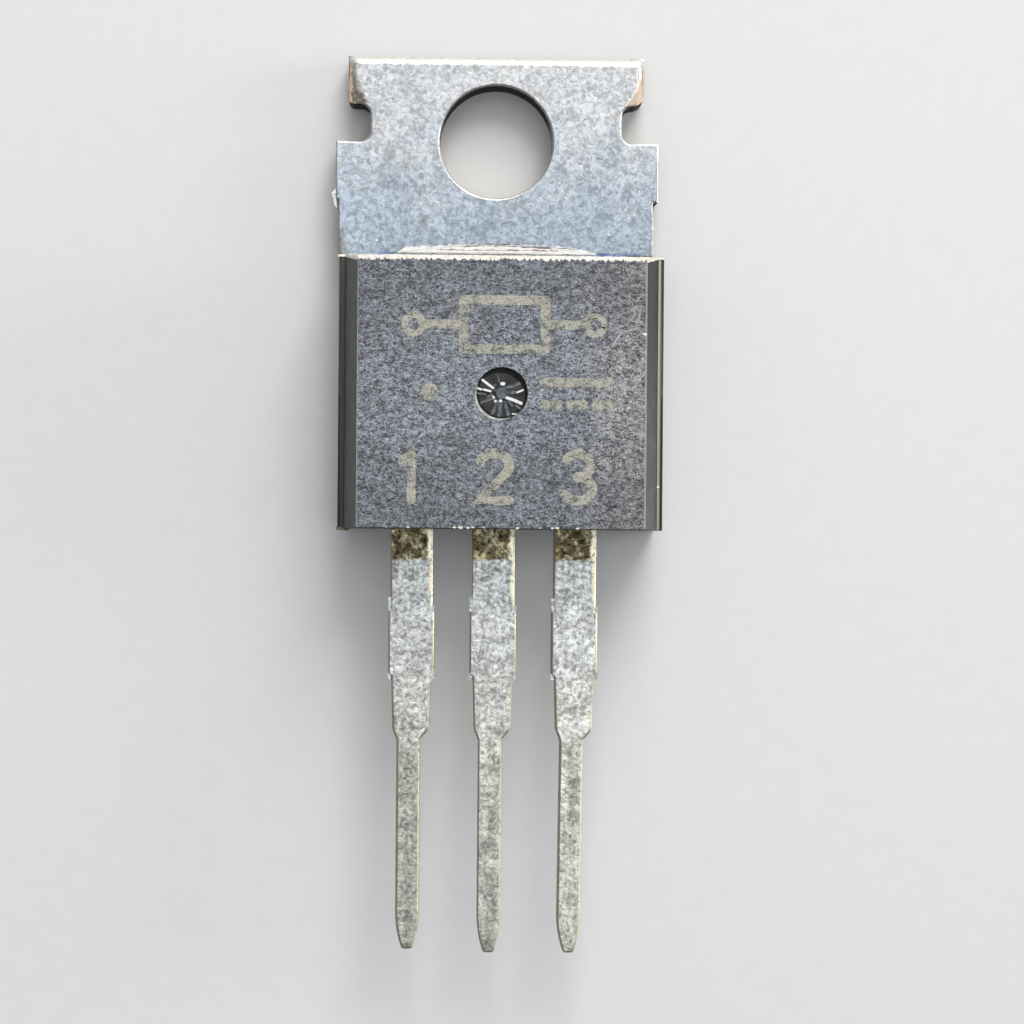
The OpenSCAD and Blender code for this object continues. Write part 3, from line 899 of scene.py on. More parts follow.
@dataclass(frozen=True)
class Dresser:
    """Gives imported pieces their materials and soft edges."""

    crisp_deg: float = 28.0
    long_mm: float = 0.15
    level_mm: float = 0.0005
    corner_deg: float = 12.0
    pinch_mm: float = 0.036
    weight_name: str = "bevel_weight_edge"

    def _edge_chooser(self, name: str, edges: SoftEdges) -> bpy.types.NodeTree:
        """Makes the node tree that marks the edges to round and shades the piece across them.

        Args:
            name: the tree's name.
            edges: the box inside which edges are hidden, and so stay as they are, and the widths.

        Returns:
            The tree. It chooses the crisp edges that are level, or long, and rounds the end corners more.
        """
        tree = bpy.data.node_groups.new(name, "GeometryNodeTree")
        for way in ("INPUT", "OUTPUT"):
            tree.interface.new_socket("Mesh", in_out=way, socket_type="NodeSocketGeometry")
        writer = ShaderWriter(tree)
        middle = writer.axes(tree.nodes.new("GeometryNodeInputPosition").outputs[0])
        angle = tree.nodes.new("GeometryNodeInputMeshEdgeAngle").outputs["Unsigned Angle"]
        ends = tree.nodes.new("GeometryNodeInputMeshEdgeVertices").outputs
        span = writer.put("VectorMath", {0: ends["Position 1"], 1: ends["Position 2"]},
                          operation="SUBTRACT").outputs[0]
        crisp = writer.math("GREATER_THAN", angle, math.radians(self.crisp_deg))
        shown = writer.math("SUBTRACT", 1.0, self._inside(writer, middle, edges.hidden))
        chosen = writer.both(writer.both(crisp, self._level_or_long(writer, span)), shown)
        weight = chosen
        if edges.corner_width:
            weight = writer.either(writer.times(chosen, edges.width / edges.corner_width),
                                   self._end_corners(writer, middle, angle, span, edges.corner_from))
        smooth = tree.nodes.new("GeometryNodeSetShadeSmooth")
        sharp = tree.nodes.new("GeometryNodeSetShadeSmooth")
        sharp.domain = "EDGE"
        sharp.inputs["Shade Smooth"].default_value = False
        tree.links.new(writer.math("SUBTRACT", crisp, chosen), sharp.inputs["Selection"])
        store = tree.nodes.new("GeometryNodeStoreNamedAttribute")
        store.data_type, store.domain = "FLOAT", "EDGE"
        store.inputs["Name"].default_value = self.weight_name
        tree.links.new(weight, store.inputs["Value"])
        chain = [tree.nodes.new("NodeGroupInput"), smooth, sharp, store, tree.nodes.new("NodeGroupOutput")]
        if edges.pinch_at:
            near = [writer.math("COMPARE", part, place * MM, self.pinch_mm * MM)
                    for part, place in zip(middle, edges.pinch_at)]
            pinch = tree.nodes.new("GeometryNodeMergeByDistance")
            pinch.inputs["Distance"].default_value = self.pinch_mm * MM
            tree.links.new(writer.both(*near), pinch.inputs["Selection"])
            chain.insert(1, pinch)
        for before, after in zip(chain, chain[1:]):
            tree.links.new(before.outputs[0], after.inputs[0])
        return tree

    @staticmethod
    def _inside(writer: ShaderWriter, middle: tuple[Socket, ...], box: tuple[Place, Place]) -> Socket:
        """Marks the edges inside a box.

        Args:
            writer: the tree's writer.
            middle: the three parts of the edge's middle.
            box: the box's low and high corner, in millimetres.

        Returns:
            The mask's socket.
        """
        sides = [writer.both(writer.math("GREATER_THAN", value, low * MM),
                             writer.math("LESS_THAN", value, high * MM))
                 for value, low, high in zip(middle, *box)]
        return writer.both(writer.both(sides[0], sides[1]), sides[2])

    def _level_or_long(self, writer: ShaderWriter, span: Socket) -> Socket:
        """Marks the edges that lie level or are long.

        Args:
            writer: the tree's writer.
            span: the vector from one end of the edge to the other.

        Returns:
            The mask's socket.
        """
        length = writer.put("VectorMath", {0: span}, operation="LENGTH").outputs["Value"]
        rise = writer.math("ABSOLUTE", writer.axes(span)[2])
        return writer.either(writer.math("LESS_THAN", rise, self.level_mm * MM),
                             writer.math("GREATER_THAN", length, self.long_mm * MM))

    def _end_corners(self, writer: ShaderWriter, middle: tuple[Socket, ...], angle: Socket, span: Socket,
                     limits: Point) -> Socket:
        """Marks the upright edges at the tab's end corners.

        Args:
            writer: the tree's writer.
            middle: the three parts of the edge's middle.
            angle: the angle between the edge's two faces.
            span: the vector from one end of the edge to the other.
            limits: how far out and how far along the corners begin, in millimetres.

        Returns:
            The mask's socket.
        """
        aslant = [writer.math("GREATER_THAN", writer.math("ABSOLUTE", part), self.level_mm * MM)
                  for part in writer.axes(span)[:2]]
        upright = writer.math("SUBTRACT", 1.0, writer.apart(*aslant))
        out, along = (writer.math("GREATER_THAN", part, limit * MM)
                      for part, limit in zip((writer.math("ABSOLUTE", middle[0]), middle[1]), limits))
        corner = writer.both(writer.both(out, along), upright)
        return writer.both(corner, writer.math("GREATER_THAN", angle, math.radians(self.corner_deg)))

    def dress(self, node: str, material: bpy.types.Material, edges: SoftEdges | None = None) -> None:
        """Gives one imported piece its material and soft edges.

        Args:
            node: the piece's name.
            material: its material.
            edges: which edges are rounded, or nothing for none.
        """
        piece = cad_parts[node]
        for slot in piece.material_slots:
            slot.material = material
        if edges:
            weld = piece.modifiers.new("Weld", "WELD")
            weld.merge_threshold = 1e-7
            flat = piece.modifiers.new("Flat faces", "DECIMATE")
            flat.decimate_type = "DISSOLVE"
            flat.angle_limit = math.radians(0.5)
            chosen = piece.modifiers.new("Chosen edges", "NODES")
            chosen.node_group = self._edge_chooser(node + "_edges", edges)
            bevel = piece.modifiers.new("Soft edges", "BEVEL")
            bevel.width = max(edges.width, edges.corner_width) * MM
            bevel.segments = edges.segments
            bevel.limit_method = "WEIGHT"
            bevel.use_clamp_overlap = False
            normals = piece.modifiers.new("Even normals", "WEIGHTED_NORMAL")
            normals.weight = 100
            normals.keep_sharp = True
        LOG.info("dressed %s", node)


@dataclass
class MeshStock:
    """Points in millimetres and faces of a piece that is made of one or more shapes."""

    corners: list[Place] = field(default_factory=list)
    faces: list[list[int]] = field(default_factory=list)

    def make(self, name: str, material: bpy.types.Material, smooth: bool = False) -> None:
        """Makes one mesh piece from the stock and fixes it to the part.

        Args:
            name: the piece's name.
            material: its material.
            smooth: whether its faces are shaded as one curved surface.
        """
        mesh = bpy.data.meshes.new(name)
        mesh.from_pydata([Vector(c) * MM for c in self.corners], [], self.faces)
        mesh.validate()
        mesh.polygons.foreach_set("use_smooth", [smooth] * len(mesh.polygons))
        mesh.materials.append(material)
        piece = bpy.data.objects.new(name, mesh)
        bpy.context.scene.collection.objects.link(piece)
        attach(piece, ROOT_BODY)
        LOG.info("built %s", name)

    def add(self, corners: list[Place], faces: list[list[int]]) -> None:
        """Adds one shape.

        Args:
            corners: its points.
            faces: its faces, counted from its own first point.
        """
        start = len(self.corners)
        self.corners.extend(corners)
        self.faces.extend([[start + i for i in face] for face in faces])

    def slab(self, outline: list[Point], low: float, high: float) -> None:
        """Adds a flat slab.

        Args:
            outline: a simple outline that runs anticlockwise.
            low: its lower height.
            high: its upper height.
        """
        count = len(outline)
        corners = [(x, y, low) for x, y in outline] + [(x, y, high) for x, y in outline]
        sides = [[i, (i + 1) % count, count + (i + 1) % count, count + i] for i in range(count)]
        self.add(corners, [list(range(count))[::-1], list(range(count, 2 * count))] + sides)

    def sweep(self, sections: list[list[Place]]) -> None:
        """Adds a closed shape through a row of closed sections with the same number of points.

        Args:
            sections: each section's points, anticlockwise as seen along the row.
        """
        count = len(sections[0])
        corners = [corner for section in sections for corner in section[::-1]]
        faces = []
        for k in range(len(sections) - 1):
            for i in range(count):
                j = (i + 1) % count
                faces.append([k * count + i, (k + 1) * count + i, (k + 1) * count + j, k * count + j])
        last = (len(sections) - 1) * count
        self.add(corners, faces + [list(range(count)), [last + i for i in range(count)][::-1]])

    def strip(self, near: list[Point], far: list[Point], low: float, high: float) -> None:
        """Adds a raised strip between two lines that run along X.

        Args:
            near: the line with the lower Y.
            far: the other line, with as many points.
            low: its lower height.
            high: its upper height.
        """
        sections = []
        for close, away in zip(near, far):
            sections.append([(*close, low), (*close, high), (*away, high), (*away, low)])
        self.sweep(sections)

    def stroke(self, line: list[Point], width: float, low: float, high: float) -> None:
        """Adds a raised pen stroke along a line, with round ends.

        Args:
            line: the pen's way.
            width: the pen's width.
            low: its lower height.
            high: its upper height.
        """
        ways = [(Vector(b) - Vector(a)).normalized() for a, b in zip(line, line[1:])]
        turns = [ways[0]] + [(a + b).normalized() for a, b in zip(ways, ways[1:])] + [ways[-1]]
        half = width / 2
        near, far = [], []
        for (x, y), way, turn in zip(line, ways + [ways[-1]], turns):
            reach = half / max(0.5, way.dot(turn))
            near.append((x + turn.y * reach, y - turn.x * reach))
            far.append((x - turn.y * reach, y + turn.x * reach))
        start, end = (math.degrees(math.atan2(w.y, w.x)) for w in (ways[0], ways[-1]))
        end_cap = arc(line[-1], (half, half), end - 90, end + 90, 8)[1:-1]
        start_cap = arc(line[0], (half, half), start + 90, start + 270, 8)[1:-1]
        self.slab(near + end_cap + far[::-1] + start_cap, low, high)


def arc(middle: Point, radius: Point, start: float, end: float, steps: int = 14) -> list[Point]:
    """Returns points along an elliptic arc.

    Args:
        middle: the arc's centre.
        radius: its half width and half height.
        start: its first angle, in degrees.
        end: its last angle, in degrees.
        steps: how many chords it has.

    Returns:
        The points, in order.
    """
    angles = [math.radians(start + (end - start) * i / steps) for i in range(steps + 1)]
    return [(middle[0] + radius[0] * math.cos(a), middle[1] + radius[1] * math.sin(a)) for a in angles]


def ragged_line(draw: random.Random, count: int, low: float, high: float, calm: float = 0.6) -> list[float]:
    """Returns a row of values that wander between two limits.

    Args:
        draw: the source of random numbers.
        count: how many values there are.
        low: the least value.
        high: the greatest value.
        calm: how much of each value is kept in the next.

    Returns:
        The values.
    """
    middle = (low + high) / 2
    last = middle
    values = []
    for _ in range(count):
        last = calm * last + (1 - calm) * draw.uniform(low, high)
        values.append(min(high, max(low, middle + (last - middle) * 1.8)))
    return values


@dataclass
class SubAssembly:
    """Pieces that are built together, with the shader groups that their finishes share."""

    effects: SharedEffects


@dataclass
class FrontMarks(SubAssembly):
    """Generic signs in worn ink on the front face."""

    face_z: float
    finish: InkFinish = InkFinish()
    stroke: float = 0.29
    ink_mm: float = 0.006
    sunk_mm: float = 0.004
    overlap_mm: float = 0.0007
    middle_x: float = 0.27
    block_y: float = -6.05
    block_size: Point = (2.5, 1.5)
    block_reach: float = 3.05
    sign_y: float = -8.14
    dot_x: float = -2.0
    dot_r: float = 0.28
    current_x: float = 2.5
    current_w: float = 2.0
    current_gap: float = 0.34
    number_y: float = -10.7
    number_size: Point = (0.9, 1.45)

    def build(self) -> None:
        """Builds each sign as its own piece."""
        material = self.finish.build("worn_ink", self.effects)
        drawn = {Mark.BLOCK: self._block, Mark.INDEX_DOT: self._index_dot, Mark.DIRECT_CURRENT: self._current}
        for mark in Mark:
            stock = MeshStock()
            if mark in drawn:
                drawn[mark](stock)
            else:
                self._number(mark, stock)
            stock.make("ink_" + mark.value, material)

    def _draw(self, stock: MeshStock, lines: list[list[Point]], width: float) -> None:
        """Adds pen strokes, each a little higher than the one before where they cross.

        Args:
            stock: where it is added.
            lines: the pen's ways.
            width: the pen's width.
        """
        low = self.face_z - self.sunk_mm
        for i, line in enumerate(lines):
            stock.stroke(line, width, low, self.face_z + self.ink_mm + i * self.overlap_mm)

    def _block(self, stock: MeshStock) -> None:
        """Draws a regulator's circuit symbol: a box with a terminal on each side.

        Args:
            stock: where it is added.
        """
        half_w, half_h = self.block_size[0] / 2, self.block_size[1] / 2
        box = [(-half_w, -half_h), (half_w, -half_h), (half_w, half_h), (-half_w, half_h)]
        box = [(self.middle_x + x, self.block_y + y) for x, y in box]
        lines = [[box[i], box[(i + 1) % 4]] for i in range(4)]
        for side in (-1, 1):
            start = (self.middle_x + side * half_w, self.block_y)
            lines.append([start, (self.middle_x + side * (self.block_reach - 2 * self.dot_r), self.block_y)])
        self._draw(stock, lines, self.stroke)
        rings = []
        for side in (-1, 1):
            ring_x = self.middle_x + side * (self.block_reach - self.dot_r)
            rings.append(arc((ring_x, self.block_y), (self.dot_r, self.dot_r), 0, 330, 24))
        self._draw(stock, rings, self.stroke * 0.7)

    def _index_dot(self, stock: MeshStock) -> None:
        """Draws the dot that shows which end is the first pin's."""
        outline = arc((self.dot_x, self.sign_y), (self.dot_r, self.dot_r), 0, 350, 35)
        stock.slab(outline, self.face_z - self.sunk_mm, self.face_z + self.ink_mm)

    def _current(self, stock: MeshStock) -> None:
        """Draws the sign for direct current: a line over three dashes.

        Args:
            stock: where it is added.
        """
        half = self.current_w / 2
        top_y, low_y = self.sign_y + self.current_gap, self.sign_y - self.current_gap
        lines = [[(self.current_x - half, top_y), (self.current_x + half, top_y)]]
        dash = self.current_w / 5
        for i in (0, 2, 4):
            start = self.current_x - half + i * dash
            lines.append([(start, low_y), (start + dash, low_y)])
        self._draw(stock, lines, self.stroke)

    def _number(self, mark: Mark, stock: MeshStock) -> None:
        """Draws one pin number above its lead.

        Args:
            mark: which number.
            stock: where it is added.
        """
        w, h = self.number_size[0] / 2, self.number_size[1] / 2
        shapes = {
            Mark.ONE: [[(-w * 0.6, h * 0.62), (0.0, h), (0.0, -h)]],
            Mark.TWO: [arc((0.0, h * 0.48), (w, h * 0.52), 165, -35) + [(-w, -h), (w, -h)]],
            Mark.THREE: [arc((0.0, h * 0.5), (w * 0.88, h * 0.5), 150, -90),
                         arc((0.0, -h * 0.48), (w, h * 0.52), 90, -150)],
        }
        place = {Mark.ONE: -1, Mark.TWO: 0, Mark.THREE: 1}[mark]
        lines = [[(x + place * LEAD_PITCH, y + self.number_y) for x, y in line] for line in shapes[mark]]
        self._draw(stock, lines, self.stroke)


@dataclass
class EjectorMark(SubAssembly):
    """Floor of the ejector-pin mark: a dark polished disc round a hub, with bright and grey strokes that are
    painted reflections of its turning, a painted shadow along one side and a painted highlight on the
    opposite edge.
    """

    face_z: float
    middle: Point = (0.2, -8.145)
    depth: float = 0.1
    radius: float = 0.775
    hub_r: float = 0.17
    swell_mm: float = 0.03
    hub_mm: float = 0.052
    shadow_mm: float = 0.045
    ridge_mm: float = 0.042
    overlap_mm: float = 0.004
    lip_z: Point = (-0.01, 0.008)
    spokes: int = 96
    rings: int = 10
    floor: PlainFinish = PlainFinish(tone("272827"), tone("121211"), rough=0.4, mottle_mm=0.3)
    bright: PlainFinish = PlainFinish(tone("f2f3f1"), tone("d9dbd8"), rough=0.3)
    dull: PlainFinish = PlainFinish(tone("70757a"), tone("3c3f42"), rough=0.35)
    shadow: PlainFinish = PlainFinish(tone("060606"), tone("020202"), rough=0.9)
    lip_highlight: PlainFinish = PlainFinish(tone("d2d1c4"), tone("9d9d96"), rough=0.5, mottle_mm=0.15)

    def build(self) -> None:
        """Builds the floor, the bright and grey strokes that paint its reflections, the hub, the painted
        shadow of its side and the painted highlight on its edge.
        """
        self._floor()
        bright = self._strokes([
            ([(-0.6, 0.41), (-0.43, 0.28), (-0.27, 0.165)], 0.075),
            ([(-0.72, 0.145), (-0.63, 0.115)], 0.065), ([(-0.555, 0.112), (-0.345, 0.06)], 0.06),
            ([(0.14, -0.13), (0.38, -0.21), (0.6, -0.305)], 0.09), ([(0.47, 0.03), (0.65, 0.105)], 0.06),
            ([(0.33, -0.63), (0.46, -0.63)], 0.04), ([(0.0, 0.295), (0.055, 0.295)], 0.1),
            ([(-0.262, -0.12), (-0.255, -0.135)], 0.09), ([(-0.19, -0.245), (-0.175, -0.255)], 0.09),
            ([(-0.04, -0.235), (-0.03, -0.24)], 0.1)])
        dull = self._strokes([
            ([(-0.745, 0.0), (-0.5, -0.04)], 0.05), ([(-0.125, 0.54), (-0.085, 0.36)], 0.045),
            ([(0.1, 0.165), (0.34, 0.22), (0.59, 0.33)], 0.1), ([(-0.21, 0.25), (-0.2, 0.255)], 0.08),
            ([(0.22, -0.25), (0.32, -0.37)], 0.075), ([(0.44, -0.37), (0.56, -0.46)], 0.06),
            ([(-0.14, -0.3), (-0.28, -0.62)], 0.1), ([(-0.04, -0.33), (-0.07, -0.68)], 0.12),
            ([(0.1, -0.28), (0.2, -0.66)], 0.1), ([(-0.3, -0.16), (-0.62, -0.3)], 0.08),
            ([(0.2, 0.02), (0.4, 0.03)], 0.1), ([(-0.3, -0.03), (-0.42, -0.12)], 0.07)])
        hub = arc(self.middle, (self.hub_r, self.hub_r), 0, 345, 23)
        dull.slab(hub, self._floor_z(), self._floor_z(self.hub_mm))
        shadow, lip_highlight = MeshStock(), MeshStock()
        # A near-black crescent on one side is a painted shadow of the recess wall.
        shade = self._crescent(-28, 158, self.radius, -0.15)
        shadow.slab(shade, self._floor_z(), self._floor_z(self.shadow_mm))
        rim = self._crescent(158, 292, self.radius + 0.005, 0.075)
        lip_highlight.slab(rim, *(self.face_z + z for z in self.lip_z))
        for name, stock, finish in (("ridge_highlights", bright, self.bright), ("streaks", dull, self.dull),
                                    ("shaded_side", shadow, self.shadow), ("lip_highlight", lip_highlight, self.lip_highlight)):
            stock.make("ejector_" + name, finish.build("ejector_mark_" + name, self.effects))

    def _floor_z(self, above: float = 0.0) -> float:
        """Returns a height above the lowest point of the floor."""
        return self.face_z - self.depth + above

    def _strokes(self, lines: list[tuple[list[Point], float]]) -> MeshStock:
        """Makes raised strokes.

        Args:
            lines: their lines from the mark's middle, and their widths.

        Returns:
            The stock that holds them.
        """
        stock = MeshStock()
        for line, width in lines:
            placed = [(self.middle[0] + x, self.middle[1] + y) for x, y in line]
            stock.stroke(placed, width, self._floor_z(), self._floor_z(self.ridge_mm))
        return stock

    def _crescent(self, start: float, end: float, radius: float, bulge: float) -> list[Point]:
        """Returns the outline of a crescent along a circle.

        Args:
            start: its first angle, in degrees.
            end: its last angle, in degrees.
            radius: the circle's radius.
            bulge: how far its other edge lies outside the circle, or inside if negative.

        Returns:
            The points, anticlockwise.
        """
        steps = 40
        outer, inner = [], []
        for i in range(steps + 1):
            angle = math.radians(start + (end - start) * i / steps)
            reach = bulge * math.sin(math.pi * i / steps)
            for points, distance in ((outer, radius + max(0.0, reach)), (inner, radius + min(0.0, reach))):
                points.append((self.middle[0] + distance * math.cos(angle),
                               self.middle[1] + distance * math.sin(angle)))
        return outer + inner[1:-1][::-1]

    def _height(self, share: float, angle: float) -> float:
        """Gives the shape of the floor's swells.

        Args:
            share: a share of the radius.
            angle: an angle round the middle, in radians.

        Returns:
            The height above the floor's lowest point.
        """
        wave = 0.5 + 0.5 * math.sin(5 * angle + 1.1 * math.sin(2 * angle))
        hub = self.hub_r / self.radius
        return self.swell_mm * (0.9 if share < hub else wave * max(0.0, math.sin(math.pi * share)) ** 0.7)

    def _floor(self) -> None:
        """Builds the gently swelling disc."""
        base_z = self._floor_z(self.overlap_mm)
        corners = [(self.middle[0], self.middle[1], base_z + self._height(0.0, 0.0))]
        faces = []
        angles = [2 * math.pi * i / self.spokes for i in range(self.spokes)]
        for ring in range(1, self.rings + 1):
            share = ring / self.rings
            for angle in angles:
                corners.append((self.middle[0] + math.cos(angle) * self.radius * share,
                                self.middle[1] + math.sin(angle) * self.radius * share,
                                base_z + self._height(share, angle)))
        for i in range(self.spokes):
            j = (i + 1) % self.spokes
            faces.append([0, 1 + i, 1 + j])
            for ring in range(self.rings - 1):
                start, outer = 1 + ring * self.spokes, 1 + (ring + 1) * self.spokes
                faces.append([start + i, outer + i, outer + j, start + j])
        rim = 1 + (self.rings - 1) * self.spokes
        base = len(corners)
        corners += [(x, y, self._floor_z(-self.overlap_mm)) for x, y, _ in corners[rim:rim + self.spokes]]
        for i in range(self.spokes):
            j = (i + 1) % self.spokes
            faces.append([rim + i, base + i, base + j, rim + j])
        faces.append([base + i for i in range(self.spokes)][::-1])
        polish = self.floor.build("ejector_polish", self.effects)
        MeshStock(corners, faces).make("ejector_floor", polish, smooth=True)


@dataclass
class ClampBurnish(SubAssembly):
    """Bright metal that the mould's clamp smeared over the tab beside the body, painted near white: partly a
    painted highlight.
    """

    middle_x: float = 0.055
    low_y: float = -3.565
    length: float = 6.3
    width: float = 0.185
    depth: float = 0.06
    tapers: Point = (14.0, 6.0)
    points: int = 120
    feather_mm: float = 0.012
    finish: PlainFinish = PlainFinish(tone("fffffb"), tone("f4ede8"), rough=0.5, mottle_mm=0.35)
    shadow: PlainFinish = PlainFinish(tone("b49a88"), tone("8a7466"), rough=0.5, metallic=0.2, mottle_mm=0.3)

    def build(self) -> None:
        """Builds the bright skin over the clamp's groove, and the thin dull streaks on it; the lowest streak
        is a painted shadow line along the body.
        """
        draw = random.Random(5)
        bright, dull = MeshStock(), MeshStock()
        self._layer(bright, draw, (0.0, 1.0), 1.0, 0.006)
        for share, part in ((-0.08, 0.94), (0.5, 0.62)):
            self._layer(dull, draw, (share, share + 0.085), part, 0.008)
        for share, part in ((1.09, 0.82), (1.26, 0.5)):
            self._layer(bright, draw, (share, share + 0.07), part, 0.004)
        bright.make("clamp_burnish", self.finish.build("burnished_tin_highlight", self.effects))
        dull.make("clamp_streaks_and_shadow", self.shadow.build("smeared_tin_and_shadow", self.effects))

    def _layer(self, stock: MeshStock, draw: random.Random, shares: Point, part: float, above: float) -> None:
        """Adds one thin layer with feathered edges.

        Args:
            stock: where it is added.
            draw: the source of random numbers.
            shares: its edges, as shares of the skin's width.
            part: its length, as a share of the skin's.
            above: how far it stands above the tab.
        """
        half = self.length / 2 * part
        low_reach, high_reach = self.feather_mm, 3 * self.feather_mm
        low_wander = ragged_line(draw, self.points + 1, -low_reach, low_reach, 0.75)
        high_wander = ragged_line(draw, self.points + 1, -high_reach, high_reach, 0.7)
        near, far = [], []
        for i in range(self.points + 1):
            way = -1 + 2 * i / self.points
            taper = self.tapers[0] if way < 0 else self.tapers[1]
            thick = self.width * (1 - abs(way * part) ** taper) + 0.03
            low = self.low_y + thick * shares[0] + low_wander[i]
            high = max(low + 0.01, self.low_y + thick * shares[1] + high_wander[i])
            near.append((self.middle_x + half * way, low))
            far.append((self.middle_x + half * way, high))
        stock.strip(near, far, TAB_Z - self.depth / 2, TAB_Z + above)


@dataclass
class MouldFlash(SubAssembly):
    """Thin brittle flash along the body's edges, and resin bleed where its end wall meets the tab; the pale
    strips beside the tab also paint the end wall's bright grazing reflection.
    """

    face_z: float
    top_y: float = -4.1
    wall_y: float = -3.64
    low_y: float = -12.29
    left_x: float = -4.25
    right_x: float = 4.65
    side_lean: float = 0.45
    tab_x: float = 5.0
    far_x: Point = (-4.93, 5.3)
    spacing: float = 0.028
    jut: Point = (0.06, 0.155)
    lap: Point = (-0.05, 0.03)
    waver: Point = (-0.02, 0.02)
    spill: Point = (0.012, 0.04)
    climb: Point = (0.02, 0.11)
    thick: float = 0.006
    grit_reach: Point = (-0.005, 0.085)
    grit_z: Point = (-0.02, 0.009)
    flake_sides: int = 6
    flake_z: Point = (-0.03, 0.012)
    corner_y: float = -12.28
    corner_jut: Point = (0.08, 0.07)
    corner_points: int = 9
    corner_step: float = 0.05
    finish: PlainFinish = PlainFinish(tone("f6f4ea"), tone("cfc9b4"), rough=0.45, mottle_mm=0.12)
    brown: PlainFinish = PlainFinish(tone("8c7a66"), tone("5d5246"), rough=0.5)

    def build(self, moulding: bpy.types.Material) -> None:
        """Builds the flash and the bleed beside the tab, the flakes above the leads and the corner flash.

        Args:
            moulding: the material of the moulded body.
        """
        pale = self.finish.build("pale_flash_and_highlight", self.effects)
        draw = random.Random(23)
        fringe, bleed = MeshStock(), MeshStock()
        self._beside_tab(fringe, bleed, draw)
        fringe.make("tab_edge_flash_highlight", pale)
        bleed.make("tab_edge_bleed_highlight", pale)
        grit = MeshStock()
        self._grit(grit, draw)
        grit.make("face_edge_grit", moulding)
        flakes = MeshStock()
        for x, size in ((-2.63, 0.1), (-1.22, 0.13), (-1.02, 0.17), (-0.8, 0.13), (-0.66, 0.1), (-0.31, 0.1),
                        (0.71, 0.14), (1.4, 0.09), (1.78, 0.1), (1.93, 0.13), (2.55, 0.11), (-3.3, 0.06)):
            self._flake(flakes, draw, x, size)
        flakes.make("lead_edge_flakes", pale)
        corner = MeshStock()
        self._corner(corner, draw)
        corner.make("corner_flash", self.brown.build("brown_flash", self.effects))

    @property
    def lean(self) -> float:
        """How far the end wall leans back for each millimetre of its height."""
        return (self.wall_y - self.top_y) / (self.face_z - TAB_Z)

    def _crest(self, x: float) -> Place:
        """Finds the end wall's upper edge and its foot.

        Args:
            x: a place across.

        Returns:
            The height of the upper edge there, its Y, and the height of the foot.
        """
        inward = max(0.0, self.left_x - x, x - self.right_x)
        crest = max(LEDGE_Z, self.face_z - inward * (self.face_z - LEDGE_Z) / self.side_lean)
        beside_tab = max(0.0, min(1.0, (x - self.tab_x) / 0.1))
        foot = TAB_Z + beside_tab * (LEDGE_Z - TAB_Z) * 0.7
        return crest, self.wall_y - self.lean * (crest - TAB_Z), foot

    def _beside_tab(self, fringe: MeshStock, bleed: MeshStock, draw: random.Random) -> None:
        """Adds the fringe that juts from the end wall's upper edge, and the bleed along the wall's foot, pale
        strips that are partly flash and partly a painted highlight of the wall.

        Args:
            fringe: where the upper fringe is added.
            bleed: where the bleed is added.
            draw: the source of random numbers.
        """
        count = int((self.far_x[1] - self.far_x[0]) / self.spacing)
        laps = [max(0.004, lap) for lap in ragged_line(draw, count + 1, *self.lap, 0.5)]
        waver = ragged_line(draw, count + 1, *self.waver, 0.5)
        spills = ragged_line(draw, count + 1, *self.spill, 0.6)
        climbs = ragged_line(draw, count + 1, *self.climb, 0.8)
        upper, lower = [], []
        for i in range(count + 1):
            x = self.far_x[0] + self.spacing * i
            crest, crest_y, foot = self._crest(x)
            foot_y = self.wall_y - self.lean * (foot - TAB_Z)
            lap_y = crest_y - laps[i] * min(1.0, 0.25 + (crest - LEDGE_Z))
            rise = (crest - LEDGE_Z) / (self.face_z - LEDGE_Z)
            jut = self.jut[0] + rise * (self.jut[1] - self.jut[0]) + waver[i]
            tip_y, tip_z = crest_y + jut, crest - 0.35 * jut
            climb_y = foot_y - self.lean * climbs[i]
            upper.append([
                (x, lap_y, crest - self.thick), (x, lap_y, crest + self.thick),
                (x, crest_y + self.thick, crest + self.thick), (x, tip_y, tip_z + self.thick),
                (x, tip_y, tip_z - self.thick), (x, crest_y - 2 * self.thick, crest - jut)])
            lower.append([
                (x, foot_y - 0.03, foot - self.thick),
                (x, climb_y - self.thick, foot + climbs[i]), (x, climb_y + self.thick, foot + climbs[i]),
                (x, foot_y + spills[i], foot + self.thick), (x, foot_y + spills[i], foot - self.thick)])
        fringe.sweep(upper)
        bleed.sweep(lower)

    def _grit(self, stock: MeshStock, draw: random.Random) -> None:
        """Adds the ragged rim of the face's grain that laps over the flash.

        Args:
            stock: where it is added.
            draw: the source of random numbers.
        """
        count = int((self.right_x - self.left_x) / self.spacing)
        reaches = ragged_line(draw, count + 1, *self.grit_reach, 0.35)
        near, far = [], []
        for i, reach in enumerate(reaches):
            x = self.left_x + self.spacing * i
            near.append((x, self.top_y - 0.05))
            far.append((x, self.top_y + reach))
        stock.strip(near, far, *(self.face_z + z for z in self.grit_z))

    def _flake(self, stock: MeshStock, draw: random.Random, x: float, size: float) -> None:
        """Adds one broken flake on the edge above the leads.

        Args:
            stock: where it is added.
            draw: the source of random numbers.
            x: its place across.
            size: its width.
        """
        middle_y = self.low_y + 0.03
        outline = []
        for i in range(self.flake_sides):
            turn = 2 * math.pi / self.flake_sides * i
            reach = size * draw.uniform(0.35, 0.62)
            outline.append((x + reach * math.cos(turn), middle_y + 0.55 * reach * math.sin(turn)))
        stock.slab(outline, *(self.face_z + z for z in self.flake_z))

    def _corner(self, stock: MeshStock, draw: random.Random) -> None:
        """Adds the ragged flash at the lower left corner of the parting line.

        Args:
            stock: where it is added.
            draw: the source of random numbers.
        """
        near, far = [], []
        for i in range(self.corner_points):
            x = self.far_x[0] + self.corner_step * i
            near.append((x, self.corner_y - self.corner_jut[0] - draw.uniform(0.0, self.corner_jut[1])))
            far.append((x, self.corner_y))
        stock.strip(near, far, LEDGE_Z - 0.06, LEDGE_Z)


